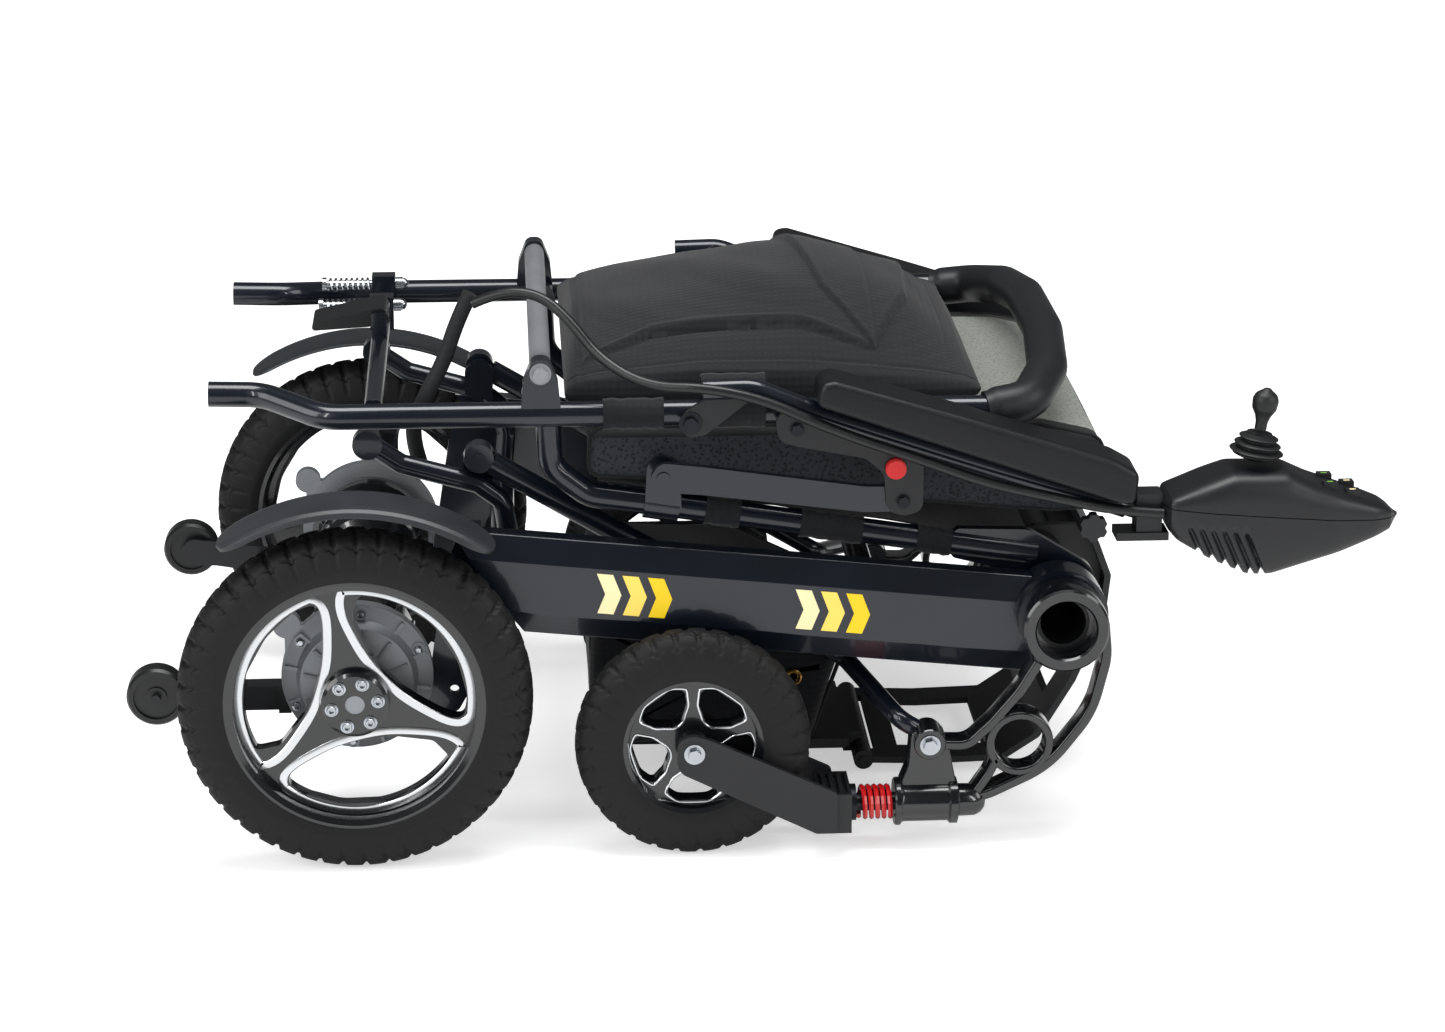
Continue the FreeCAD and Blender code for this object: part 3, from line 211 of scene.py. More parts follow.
# Cast vinyl film in three yellows.
film_pale = finish("pale_yellow_vinyl_film", "#FBEBB4", 0.4, 0.0, grains(2.0), 0.02, 0.0001, "#FBEBB4")
film_middle = finish("middle_yellow_vinyl_film", "#FADB62", 0.4, 0.0, grains(2.0), 0.02, 0.0001, "#FADB62")
film_strong = finish("strong_yellow_vinyl_film", "#F4CE04", 0.4, 0.0, grains(2.0), 0.02, 0.0001, "#F4CE04")
# Green light pipe in the keypad.
green_lens = finish("green_light_pipe", "#6FA83A", 0.3, 0.0, grains(2.0), 0.02, 0.0001, "#6FA83A")
# Brass eyelet, rolled and bright.
brass = finish("rolled_brass", "#C9A15A", 0.25, 1.0, grains(1.0), 0.03, 0.0001, "#B98F48")

# Which finish each solid wears.
NODE_FINISH = {
    powder_coat: ("main_frame", "back_cane_right", "back_cane_left", "seat_frame", "strut_tubes",
                  "strut_rods", "latch_cross_tube", "armrest_posts", "armrest_tubes"),
    cast_enamel: ("leg_casting_right", "leg_casting_left", "drive_rim_right", "drive_rim_left",
                  "caster_rim_right", "caster_rim_left", "motors"),
    satin_coat: ("caster_fork_right", "caster_fork_left", "armrest_plates", "footrest_hanger",
                 "footplate", "anti_tip_outriggers", "joystick_bracket"),
    zinc_plate: ("hub_bolts_right", "hub_bolts_left", "leg_bolts", "caster_axle_right",
                 "caster_axle_left", "latch_bolts", "latch_springs"),
    black_oxide: ("armrest_bolts", "caster_stem_right", "caster_stem_left"),
    blasted_alloy: ("gearboxes",),
    anodised_tube: ("back_cross_bar",),
    satin_nylon: ("anti_tip_wheel_right", "anti_tip_wheel_left", "latch_lever"),
    textured_pp: ("fenders",),
    red_enamel: ("suspension_spring_right", "suspension_spring_left"),
    red_abs: ("armrest_button_right", "armrest_button_left"),
    black_abs: ("joystick_lower_shell", "joystick_upper_shell", "bracket_knob"),
    silicone: ("joystick_gaiter", "joystick_stick", "joystick_keys"),
    tyre_rubber: ("drive_tyre_right", "drive_tyre_left", "caster_tyre_right", "caster_tyre_left"),
    canvas: ("battery_bag", "back_sling"),
    grey_mesh: ("seat_cushion",),
    nitrile_foam: ("foam_grip",),
    grained_vinyl: ("armrest_pads",),
    pvc_jacket: ("joystick_cable", "cable_loom"),
}
for coat, nodes in NODE_FINISH.items():
    for node in nodes:
        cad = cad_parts[node]
        cad.data.materials.clear()
        cad.data.materials.append(coat)


# ------------------------------------------------------------------- surfaces and paths
def surface(name, grid, around=False, along=False, lids=False, crease=40.0):
    """A mesh over a grid of points: each face joins four neighbours. The grid closes round its second
    direction, along its first, or both, and lids close a tube's ends with fans."""
    rows, columns = grid.shape[:2]
    points = grid.reshape(-1, 3)
    index = np.arange(rows * columns).reshape(rows, columns)
    if along:
        index = np.vstack([index, index[:1]])
    if around:
        index = np.hstack([index, index[:, :1]])
    faces = np.stack([index[:-1, :-1], index[1:, :-1], index[1:, 1:], index[:-1, 1:]], -1).reshape(-1, 4)
    faces = faces.tolist()
    if lids:
        for row in (0, -1):
            centre = len(points)
            points = np.vstack([points, grid[row].mean(0)])
            ring = index[row]
            fan = np.stack([ring[:-1], ring[1:], np.full(len(ring) - 1, centre)], -1)
            faces += fan.tolist()
    mesh = bpy.data.meshes.new(name)
    mesh.from_pydata(metres(points).tolist(), [], faces)
    shape = bmesh.new()
    shape.from_mesh(mesh)
    bmesh.ops.remove_doubles(shape, verts=shape.verts, dist=1e-6)
    bmesh.ops.recalc_face_normals(shape, faces=shape.faces)
    shape.to_mesh(mesh)
    shape.free()
    mesh.shade_smooth()
    mesh.set_sharp_from_angle(angle=math.radians(crease))
    return mesh


def piece(name, mesh, body, coats, replaces=()):
    """An object at the origin for a mesh, in its finishes, riding on its body and standing for its nodes."""
    made = bpy.data.objects.new(name, mesh)
    bpy.context.scene.collection.objects.link(made)
    for coat in coats if isinstance(coats, (list, tuple)) else [coats]:
        mesh.materials.append(coat)
    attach(made, body)
    if replaces:
        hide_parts(*replaces)
    return made


def eased(corners, steps=8, closed=True):
    """A line with rounded corners: at each corner the curve (1-t)^2 A + 2t(1-t) C + t^2 B, where A and B are
    the corner's radius times the cotangent of its half angle away, and at most 0.48 of the shorter side."""
    corner = np.array([c[:-1] for c in corners], float)
    radius = np.array([c[-1] for c in corners], float)
    before = np.roll(corner, 1, 0) - corner
    after = np.roll(corner, -1, 0) - corner
    if not closed:
        before[0] = -after[0]
        after[-1] = -before[-1]
    long_in = np.linalg.norm(before, axis=1)
    long_out = np.linalg.norm(after, axis=1)
    angle = np.arccos(np.clip((before * after).sum(1) / long_in / long_out, -1, 1))
    back = np.minimum(radius / np.maximum(np.tan(angle / 2), 1e-3), 0.48 * np.minimum(long_in, long_out))
    start = corner + before / long_in[:, None] * back[:, None]
    end = corner + after / long_out[:, None] * back[:, None]
    t = np.linspace(0, 1, steps)[None, :, None]
    line = (1 - t) ** 2 * start[:, None] + 2 * t * (1 - t) * corner[:, None] + t ** 2 * end[:, None]
    if not closed:
        line[0] = corner[0]
        line[-1] = corner[-1]
    flat = line.reshape(-1, corner.shape[1])
    kept = np.linalg.norm(flat - np.roll(flat, 1, 0), axis=1) > 1e-4
    if not closed:
        kept[0] = True
    return flat[kept]


def spaced(line, count, closed=False):
    """Points evenly spaced along a line, by its running length."""
    if closed:
        line = np.vstack([line, line[:1]])
    run = np.concatenate([[0], np.cumsum(np.linalg.norm(np.diff(line, axis=0), axis=1))])
    at = np.linspace(0, run[-1], count, endpoint=not closed)
    return np.stack([np.interp(at, run, line[:, k]) for k in range(line.shape[1])], -1)


def carried(profile, path, up, closed=False):
    """A profile (across, upward) carried along a path: across is the path's heading crossed with up, and
    upward is across crossed with the heading."""
    ahead = np.roll(path, -1, 0) - np.roll(path, 1, 0)
    if not closed:
        ahead[0] = path[1] - path[0]
        ahead[-1] = path[-1] - path[-2]
    ahead /= np.linalg.norm(ahead, axis=1)[:, None]
    across = np.cross(ahead, np.array(up, float))
    across /= np.linalg.norm(across, axis=1)[:, None]
    lift = np.cross(across, ahead)
    profile = np.asarray(profile, float)
    if profile.ndim == 2:
        profile = profile[None]
    return path[:, None] + profile[..., :1] * across[:, None] + profile[..., 1:] * lift[:, None]


def ring_of(radius, count=24):
    """A circle as a profile."""
    turn = np.linspace(0, 2 * np.pi, count, endpoint=False)
    return np.stack([radius * np.cos(turn), radius * np.sin(turn)], -1)


def pulse(x, width):
    """A smooth bump 1 high at 0 that falls off past a width: exp of minus the fourth power."""
    return np.exp(-(x / width) ** 4)


def risen(x, low, high):
    """A smooth step from 0 at low to 1 at high: t^2 (3 - 2t)."""
    t = np.clip((x - low) / (high - low), 0, 1)
    return t * t * (3 - 2 * t)


def flowing(points, x, reach):
    """A height read off straight lines between points, averaged over a reach each way by a raised cosine."""
    table = np.array(points, float)
    shift = np.linspace(-reach, reach, 17)
    weight = 1 + np.cos(np.pi * shift / reach)
    height = np.interp(np.asarray(x)[..., None] + shift, table[:, 0], table[:, 1])
    return (height * weight).sum(-1) / weight.sum()


def turned(profile, centre, axis, count=64):
    """A line (radius, distance along the axis) turned about an axis through a centre: radius times a circle
    in the two directions square to the axis."""
    axis = np.array(axis, float) / np.linalg.norm(axis)
    side = np.cross(axis, (0.0, 1.0, 0.0) if abs(axis[1]) < 0.9 else (1.0, 0.0, 0.0))
    side /= np.linalg.norm(side)
    third = np.cross(axis, side)
    turn = np.linspace(0, 2 * np.pi, count, endpoint=False)[None, :, None]
    radius, out = np.asarray(profile, float).T
    return np.array(centre, float) + out[:, None, None] * axis + radius[:, None, None] * (
        np.cos(turn) * side + np.sin(turn) * third)


def lathed(name, profile, centre, axis, body, coat, count=64, replaces=(), crease=35.0):
    """A turned piece with its ends closed."""
    grid = turned(profile, centre, axis, count)
    return piece(name, surface(name, grid, around=True, lids=True, crease=crease), body, coat, replaces)


def joined(name, meshes):
    """One mesh made of several, sharp where faces meet at more than 35 degrees."""
    whole = bmesh.new()
    for part in meshes:
        whole.from_mesh(part)
    mesh = bpy.data.meshes.new(name)
    whole.to_mesh(mesh)
    whole.free()
    mesh.shade_smooth()
    mesh.set_sharp_from_angle(angle=math.radians(35.0))
    return mesh


def bar(name, line, half, low, high, closed=False, corner=2.4):
    """A rounded rectangle carried along a line (x, z): half wide each way in its plane, low to high in y."""
    section = [(-half, low, corner), (half, low, corner), (half, high, corner), (-half, high, corner)]
    section = eased(section, 5)
    path = np.stack([line[:, 0], np.zeros(len(line)), line[:, 1]], -1)
    grid = carried(section, path, (0, 1, 0), closed)
    return surface(name, grid, around=True, along=closed, lids=not closed)


def block(outline, low, high, ease, crown=0.0, count=220, rows=28):
    """A closed block: a rounded outline (x, z) carried across from low to high, drawn in near both ends by
    ease (1 - sqrt(1 - t^2)) along its own inward normal, and swelled upward by a sine of the way across."""
    line = spaced(eased(outline, 8), count, closed=True)
    ahead = np.roll(line, -1, 0) - np.roll(line, 1, 0)
    ahead /= np.linalg.norm(ahead, axis=1)[:, None]
    area = (line[:, 0] * np.roll(line[:, 1], -1) - line[:, 1] * np.roll(line[:, 0], -1)).sum()
    inward = np.stack([-ahead[:, 1], ahead[:, 0]], -1) * np.sign(area)
    bend = ease * (1 - np.sin(np.linspace(0, np.pi / 2, 8)))
    level = np.linspace(low + ease, high - ease, rows)[1:-1]
    across = np.sort(np.concatenate([low + bend, level, high - bend]))
    t = np.clip(np.maximum(low + ease - across, across - high + ease) / ease, 0, 1)
    pull = ease * (1 - np.sqrt(np.maximum(1 - t ** 2, 0)))
    swell = crown * np.sin(np.pi * np.clip((across - low) / (high - low), 0, 1)) ** 0.6
    facing = np.clip(-inward[:, 1], 0, 1) ** 2
    flat = line[None] + inward[None] * (pull[:, None, None] - swell[:, None, None] * facing[None, :, None])
    return np.stack([flat[..., 0], across[:, None] + 0 * flat[..., 0], flat[..., 1]], -1)


# ---------------------------------------------------------------------------- tyres
def tread_tyre(name, side, hub, plane, half, bead, crown, blocks, depth, body, node):
    """A tyre: with p from 0 to pi over the section, across = half cos(p) ^ 0.8 with the cosine's sign, and
    radius = bead + (crown - bead) sin(p) ^ 0.68. Slanted cross grooves, dashes across them, a waved middle
    line and a lip by the bead are taken off, each a pulse of the turn or the section. The inner wall is a
    plain cylinder just inside the bead."""
    turn = np.linspace(0, 2 * np.pi, blocks * 16, endpoint=False)[:, None]
    cos_p = np.cos(np.linspace(0.02, 0.98, 64) * np.pi)
    across = (half * np.sign(cos_p) * np.abs(cos_p) ** 0.8)[None]
    radius = bead + (crown - bead) * ((1 - cos_p ** 2) ** 0.34)[None] + 0 * turn
    pitch = 2 * np.pi * crown / blocks
    phase = turn * blocks / (2 * np.pi) + np.where(across > 0, 0.5, 0.0)
    offset = (phase - np.round(phase)) * pitch
    out = np.abs(across) / half
    shoulder = risen(radius, bead + 0.30 * (crown - bead), bead + 0.38 * (crown - bead))
    groove = pulse(offset + 3 * (out - 0.6), pitch * 0.12) * shoulder * (1 - pulse(out, 0.14))
    dash = pulse(offset, pitch * 0.34) * (pulse(out - 0.40, 0.05) + pulse(out - 0.78, 0.04))
    middle = pulse((across + 1.8 * np.sin(turn * blocks)) / 1.5, 1.0)
    lip = pulse((radius - (bead + 0.25 * (crown - bead))) / 1.2, 1.0)
    radius = radius - depth * groove - 0.6 * depth * dash - 0.5 * depth * middle - 0.5 * lip
    inner_across = np.linspace(-0.9 * half, 0.9 * half, 8)[None]
    inner = np.full_like(inner_across, bead - 0.5) + 0 * turn
    y = side * (plane + np.concatenate([across + 0 * turn, inner_across + 0 * turn], 1))
    radius = np.concatenate([radius, inner], 1)
    grid = np.stack([hub[0] + radius * np.cos(turn), y, hub[1] + radius * np.sin(turn)], -1)
    mesh = surface(name, grid, around=True, along=True, crease=50)
    return piece(name, mesh, body, tyre_rubber, (node,))


def smoothed(points, count, waves, samples=256):
    """A closed line through points, run evenly, of which only the first waves of its Fourier sum are kept."""
    line = spaced(np.array(points, float), samples, closed=True)
    wave = np.fft.fft(line[:, 0] + 1j * line[:, 1])
    wave = np.fft.ifft(wave * (np.abs(np.fft.fftfreq(samples, 1 / samples)) <= waves))
    return spaced(np.stack([wave.real, wave.imag], -1), count, closed=True)


def rim_trim(name, hub, side, plane, line, profile, body, turns, coat):
    """A profile (inward from the line, out of the rim's face) carried round each of the rim's openings."""
    loops = []
    for angle in 2 * np.pi * np.arange(turns) / turns:
        x = line[:, 0] * np.cos(angle) + line[:, 1] * np.sin(angle)
        z = -line[:, 0] * np.sin(angle) + line[:, 1] * np.cos(angle)
        path = np.stack([hub[0] + x, np.full_like(x, side * plane), hub[1] + z], -1)
        area = (x * np.roll(z, -1) - z * np.roll(x, -1)).sum()
        facing = np.array([-1.0 if area * side < 0 else 1.0, 1.0])
        loops.append(carried(np.array(profile, float) * facing, path, (0, side, 0), closed=True))
    mesh = joined(name, [surface(name, loop, around=True, along=True) for loop in loops])
    return piece(name, mesh, body, coat)


# Edges of the rims' openings (x, z) from the hub, and the sections of the bright trim and of the walls
# behind it: (inward from the edge, out of the rim's face).
BAND_EDGE = [(-69, -75), (-64, -60), (-41, -44), (-17, -33), (8, -26), (30, -23.5), (52, -24), (81, -29),
             (95, -41), (98, -58), (82, -81), (50, -99), (8, -107), (-26, -103), (-56, -91)]
BAND_REACH = 103.6  # the band's edge is kept within this radius, inside the rim's lip
BAND = [(0, -1.0), (0.3, 0.6), (0.9, 0.9), (6.6, 0.9), (7.3, 0.4), (7.5, -1.5)]
LINER = [(7.0, 0.3), (7.9, -0.8), (8.4, -6), (8.6, -14.1), (5.5, -14.4), (5.0, -1.0)]
CASTER_EDGE = [(-6, -21), (-19, -31), (-26.5, -45), (-15, -54), (0, -55), (15, -54), (26.5, -45), (19, -31),
               (6, -21), (0, -19.5)]
CASTER_LINE = [(0, -1.0), (0.2, 0.5), (0.6, 0.8), (1.5, 0.8), (2.0, 0.3), (2.3, -1.5)]
CASTER_LINER = [(1.6, 0.2), (2.3, -0.8), (2.8, -4), (2.8, -18.2), (0.6, -18.4), (0.6, -1.0)]
# Turned screws: (radius, out from the chair's middle plane), with a socket in each hub screw's head.
HUB_SCREW = [(0.3, 291.4), (2.1, 291.4), (2.3, 294.4), (3.7, 294.3), (4.2, 293.6), (4.2, 291.7), (5.8, 291.3),
             (6.1, 290.6), (6.1, 289.5)]
HUB_SCREW_CIRCLE = 20.2
GEARBOX_SCREW = [(0.3, 224.6), (2.2, 224.5), (3.6, 223.4), (4.0, 220.5)]
GEARBOX_SCREW_CIRCLE = 59.0
for name, side in SIDES:
    wheel = "drive_wheel_" + name
    caster = "caster_wheel_" + name
    tread_tyre("drive_tyre_tread_" + name, side, DRIVE_HUB, 270.0, 27.5, 112.4, 152.4, 47, 3.4,
               wheel, "drive_tyre_" + name)
    tread_tyre("caster_tyre_tread_" + name, side, CASTER_HUB, 260.0, 20.8, 61.4, 102.4, 31, 2.9,
               caster, "caster_tyre_" + name)
    edge = smoothed(BAND_EDGE, 160, 9) * np.array([-float(side), 1.0])
    edge = edge * np.minimum(1.0, BAND_REACH / np.linalg.norm(edge, axis=1))[:, None]
    rim_trim("drive_rim_band_" + name, DRIVE_HUB, side, 280.0, edge, BAND, wheel, 3, machined_alloy)
    rim_trim("drive_rim_liner_" + name, DRIVE_HUB, side, 280.0, edge, LINER, wheel, 3, cast_enamel)
    edge = smoothed(CASTER_EDGE, 100, 8)
    rim_trim("caster_rim_line_" + name, CASTER_HUB, side, 269.0, edge, CASTER_LINE, caster, 5, machined_alloy)
    rim_trim("caster_rim_liner_" + name, CASTER_HUB, side, 269.0, edge, CASTER_LINER, caster, 5, cast_enamel)
    for k in range(6):
        turn = math.radians(60 * k + 10)
        place = (HUB_SCREW_CIRCLE * math.cos(turn), 0, DRIVE_HUB[1] + HUB_SCREW_CIRCLE * math.sin(turn))
        lathed(f"hub_screw_{k}_{name}", HUB_SCREW, place, (0, side, 0), wheel, zinc_plate, 28,
               ("hub_bolts_" + name,))
    for k in range(6):
        turn = math.radians(60 * k + 25)
        place = (GEARBOX_SCREW_CIRCLE * math.cos(turn), 0,
                 DRIVE_HUB[1] + GEARBOX_SCREW_CIRCLE * math.sin(turn))
        lathed(f"gearbox_screw_{k}_{name}", GEARBOX_SCREW, place, (0, side, 0), "main", zinc_plate, 24)

# Fenders: at an angle a from upright, the radius is 177.5 + 3.5 (a / 35 degrees)^2, and the band's section
# (across, outward) is drawn in at both ends by a quarter circle.
FENDER = [(0, -3), (1.5, -0.8), (8, 0), (50, 0.8), (57, 0.2), (60.6, -2.2), (62, -7), (60.4, -7.2),
          (59, -3.6), (55, -2.4), (8, -2.6), (2, -3.4)]
FENDER_RADIUS = 180.0
FENDER_MIDDLE = 270.0
FENDER_HALF = 31.0
FENDER_TIP = 26.0
STAY = [(103, 206, 288.5), (103, 236, 288.5), (103, 244, 293.5), (103, 256, 294.5)]
STAY_SECTION = [(-1.4, -7), (1.4, -7), (1.4, 7), (-1.4, 7)]
for name, side in SIDES:
    lean = np.radians(np.linspace(-38.5, 42, 150))[:, None]
    tip = np.minimum(lean - lean[0], lean[-1] - lean) * FENDER_RADIUS
    nip = np.sqrt(np.clip(1 - (1 - np.clip(tip / FENDER_TIP, 0, 1)) ** 2, 0.0004, 1))
    section = eased([(x, z, 1.2) for x, z in FENDER], 4)
    across = FENDER_MIDDLE + (section[:, 0] - FENDER_HALF)[None] * (0.35 + 0.65 * nip)
    radius = 177.5 + 3.5 * (lean / math.radians(35)) ** 2 + section[:, 1][None] * (0.4 + 0.6 * nip)
    height = DRIVE_HUB[1] + radius * np.cos(lean)
    grid = np.stack([radius * np.sin(lean), side * across + 0 * radius, height], -1)
    title = "fender_cover_" + name
    piece(title, surface(title, grid, around=True, lids=True, crease=50), "main", textured_pp,
          ("fenders",))
    strap = carried(STAY_SECTION, spaced(np.array(STAY) * (1, side, 1), 40), (1, 0, 0))
    title = "fender_stay_" + name
    piece(title, surface(title, strap, around=True, lids=True, crease=30), "main", satin_coat)

# -------------------------------------------------------------------- front leg castings
# Centre lines of the ribs and the bracket's outline: (x, z, corner radius). Sections of the turned parts:
# (radius, distance along the axis).
LEG_HUB = (613, 0, 201)
STRUT_BOSS = (496, 0, 99)
EYE = (575.4, 95.7)
EYE_RADIUS = 26
STEM_AXIS = (260, 42)
CRESCENT = [(647, 204, 0), (650, 174, 60), (638, 123, 90), (601, 74, 90), (549, 49, 60), (519, 42, 0)]
INNER_RIB = [(590, 170, 0), (574, 143, 60), (551, 115, 60), (530, 95, 20), (500, 96, 0)]
LOWER_RIB = [(556, 82, 0), (548, 66, 30), (536, 48, 0)]
BRACKET = [(480, 108, 6), (509, 108, 6), (515, 86, 14), (521, 58, 6), (520, 44, 4), (472, 44, 4),
           (471, 60, 6), (478, 78, 14)]
HUB_RING = [(23.1, 236.2), (23.1, 250), (26, 250.2), (26, 271.5), (27.5, 273.5), (35.5, 273.9), (37.4, 272),
            (37.9, 268), (37.9, 240), (36, 236.2)]
HOUSING = [(8.1, 466), (20, 466), (21.2, 467.5), (21.2, 471), (18.5, 473), (18, 475), (18, 513), (20.5, 515),
           (20.5, 521), (14.5, 523), (14, 537), (11.5, 542), (7, 545.6), (0.4, 547), (0.4, 517), (8.1, 516.5)]
BOSS = [(0.4, 243), (13, 243), (14, 244), (14, 273), (13.2, 274), (0.4, 274)]
for name, side in SIDES:
    title = "leg_frame_" + name
    low, high = sorted((side * 243, side * 268))
    housing_centre = (0, side * STEM_AXIS[0], STEM_AXIS[1])
    parts = [surface(title, turned(HUB_RING, LEG_HUB, (0, side, 0), 96), around=True, along=True),
             surface(title, turned(HOUSING, housing_centre, (1, 0, 0), 72), around=True, along=True),
             surface(title, turned(BOSS, STRUT_BOSS, (0, side, 0), 48), around=True, lids=True),
             bar(title, np.array(EYE) + ring_of(EYE_RADIUS, 72), 3.6, low, high, closed=True)]
    for corners, half in ((CRESCENT, 4.4), (INNER_RIB, 4.2), (LOWER_RIB, 3.8)):
        parts.append(bar(title, spaced(eased(corners, 14, closed=False), 90), half, low, high))
    parts.append(surface(title, block(BRACKET, low + 2, high - 2, 2.5), around=True, lids=True))
    piece(title, joined(title, parts), "front_legs", cast_enamel, ("leg_casting_" + name,))

# ------------------------------------------------------------------------------ cords
# The control points are those of the solids of both cords.
CABLE = [(694, -268.5, 305), (652, -268.5, 308), (596, -270, 322), (540, -269, 335), (486, -268, 356),
         (440, -268, 372), (396, -269, 390), (352, -268, 411), (302, -268, 423), (254, -252, 420),
         (214, -226, 437), (190, -208, 466), (164, -193, 487), (130, -184, 488), (106, -180, 476)]
LOOM = [(104, -120, 470), (92, -120, 446), (80, -124, 410), (62, -128, 378), (48, -118, 346), (56, -100, 312)]


def free_cord(name, route, radius, body, coat, node):
    """A cord on one smooth spline through its route's control points, with a round section."""
    line = bpy.data.curves.new(name, "CURVE")
    line.dimensions = "3D"
    line.resolution_u = 10
    line.bevel_depth = radius * 0.001
    line.bevel_resolution = 5
    line.use_fill_caps = True
    spline = line.splines.new("NURBS")
    spline.points.add(len(route) - 1)
    spline.points.foreach_set("co", np.c_[metres(route), np.ones(len(route))].ravel())
    spline.order_u = 3
    spline.use_endpoint_u = True
    made = bpy.data.objects.new(name, line)
    bpy.context.scene.collection.objects.link(made)
    line.materials.append(coat)
    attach(made, body)
    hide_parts(node)


free_cord("joystick_lead", CABLE, 4.5, "armrests", pvc_jacket, "joystick_cable")
free_cord("wire_loom", LOOM, 7.0, "back", cloth_tape, "cable_loom")


# ------------------------------------------------------------------------- soft pieces
def pillow(name, outline, low, high, ease, body, coats, nodes, crown=0.0, puff=0.0, count=220, rows=28):
    """A soft block. Where it is puffed, a product of sines of x, y and z moves its skin ahead, and a sine of
    x and y moves it up."""
    grid = block(outline, low, high, ease, crown, count, rows)
    if puff:
        wave = np.sin(grid[..., 0] / 37 + 1.3 * np.sin(grid[..., 1] / 60)) * np.sin(grid[..., 2] / 29 + 0.7)
        grid[..., 0] += puff * wave * np.cos(grid[..., 1] / 45)
        grid[..., 2] += 0.6 * puff * np.sin(grid[..., 0] / 23 + grid[..., 1] / 31)
    mesh = surface(name, grid, around=True, lids=True, crease=60)
    return piece(name, mesh, body, coats, nodes)


def welt(name, outline, across, radius, body, coat, count=240):
    """A piped or taped edge: a circle carried round a rounded outline (x, z) at one place across."""
    line = spaced(eased(outline, 8), count, closed=True)
    path = np.stack([line[:, 0], np.full(len(line), across), line[:, 1]], -1)
    mesh = surface(name, carried(ring_of(radius, 10), path, (0, 1, 0), closed=True), around=True, along=True)
    piece(name, mesh, body, coat)


# The cushion wears grey mesh on top, tape round that panel's border and black mesh on its sides.
CUSHION_PANEL = 0.172
CUSHION = [(204, 324, 10), (206, 366, 14), (420, 366, 40), (600, 362, 20), (652, 350, 16),
           (654, 288, 12), (610, 286, 10), (560, 290, 30), (240, 322, 30)]
cushion = pillow("seat_cushion_cover", CUSHION, -197, 197, 9, "seat", [black_mesh, grey_mesh, webbing],
                 ("seat_cushion",), crown=5)
centres = np.array([p.center for p in cushion.data.polygons])
normals = np.array([p.normal for p in cushion.data.polygons])
mesh_top = (normals[:, 2] > 0.6) & (np.abs(centres[:, 1]) < CUSHION_PANEL)
border = (normals[:, 2] > 0.3) & ~mesh_top
worn = np.where(mesh_top, 1, np.where(border, 2, 0)).astype(np.int32)
cushion.data.polygons.foreach_set("material_index", worn)
for name, side in SIDES:
    welt("cushion_top_welt_" + name, CUSHION, side * 190, 2.2, "seat", webbing)

# The seat's cloth, stretched between the side tubes under the cushion: a plane that falls with the tubes as
# x grows, with low ripples along both edges, a slight sag in the middle, and a second skin 1.4 mm below.
SEAT_FALL = 0.157
SEAT_HALF = 186
u = np.linspace(212, 592, 120)[:, None]
v = np.linspace(-SEAT_HALF, SEAT_HALF, 60)[None]
ripple = 0.7 * np.sin(u / 17) * np.abs(v / SEAT_HALF) ** 3
cloth = 314.5 - SEAT_FALL * (u - 230) + ripple - 1.2 * (1 - (v / SEAT_HALF) ** 2)
skin = np.stack([u + 0 * v, v + 0 * u, cloth], -1)
skins = np.concatenate([skin, skin[:, ::-1] - np.array([0, 0, 1.4])], 1)
skins = surface("seat_cloth", skins, around=True, lids=True, crease=60)
seat_cloth = piece("seat_cloth", skins, "seat", canvas)

BAG = [(206, 51, 14), (206, 177, 14), (336, 177, 16), (431, 131, 12), (402, 49, 12)]
EYELET = [(4.0, 141.0), (4.0, 144.2), (5.0, 145.0), (6.4, 145.2), (7.8, 144.4), (8.2, 142.4), (8.0, 141.0)]
bag = pillow("battery_bag_cover", BAG, -141, 141, 16, "main", canvas, ("battery_bag",),
             puff=2.5)
lathed("bag_eyelet", EYELET, (386.5, 0, 116.5), (0, -1, 0), "main", brass, 40)
for name, side in SIDES:
    welt("battery_bag_welt_" + name, BAG, side * 127, 2.0, "main", webbing)

PAD = [(394, 408, 8), (398, 428, 10), (410, 430, 10), (520, 397, 60), (650, 356, 20), (671, 344, 10),
       (668, 317, 9), (655, 317, 6)]
for name, side in SIDES:
    low, high = sorted((side * 232.6, side * 282.4))
    pad = pillow("armrest_pad_cover_" + name, PAD, low, high, 6, "armrests", grained_vinyl,
                 ("armrest_pads",), count=200, rows=14)

# The folded back: heights (x, z) of its edge and of its crown, the pocket's mouth (x, y), and the flap's two
# edges (x, y).
BACK_EDGE = [(184, 402), (215, 408), (302, 414), (388, 411), (519, 402), (545, 398)]
BACK_CROWN = [(184, 428), (240, 446), (311, 463), (360, 472), (402, 474), (450, 462), (493, 448), (545, 410)]
POCKET = [(196, -160), (210, -150), (260, -131), (330, -132), (391, -137), (451, -157)]
FLAP_NEAR = [(374, 168), (413, -86), (454, -157)]
FLAP_AHEAD = [(454, -157), (491, -66), (508, 168)]


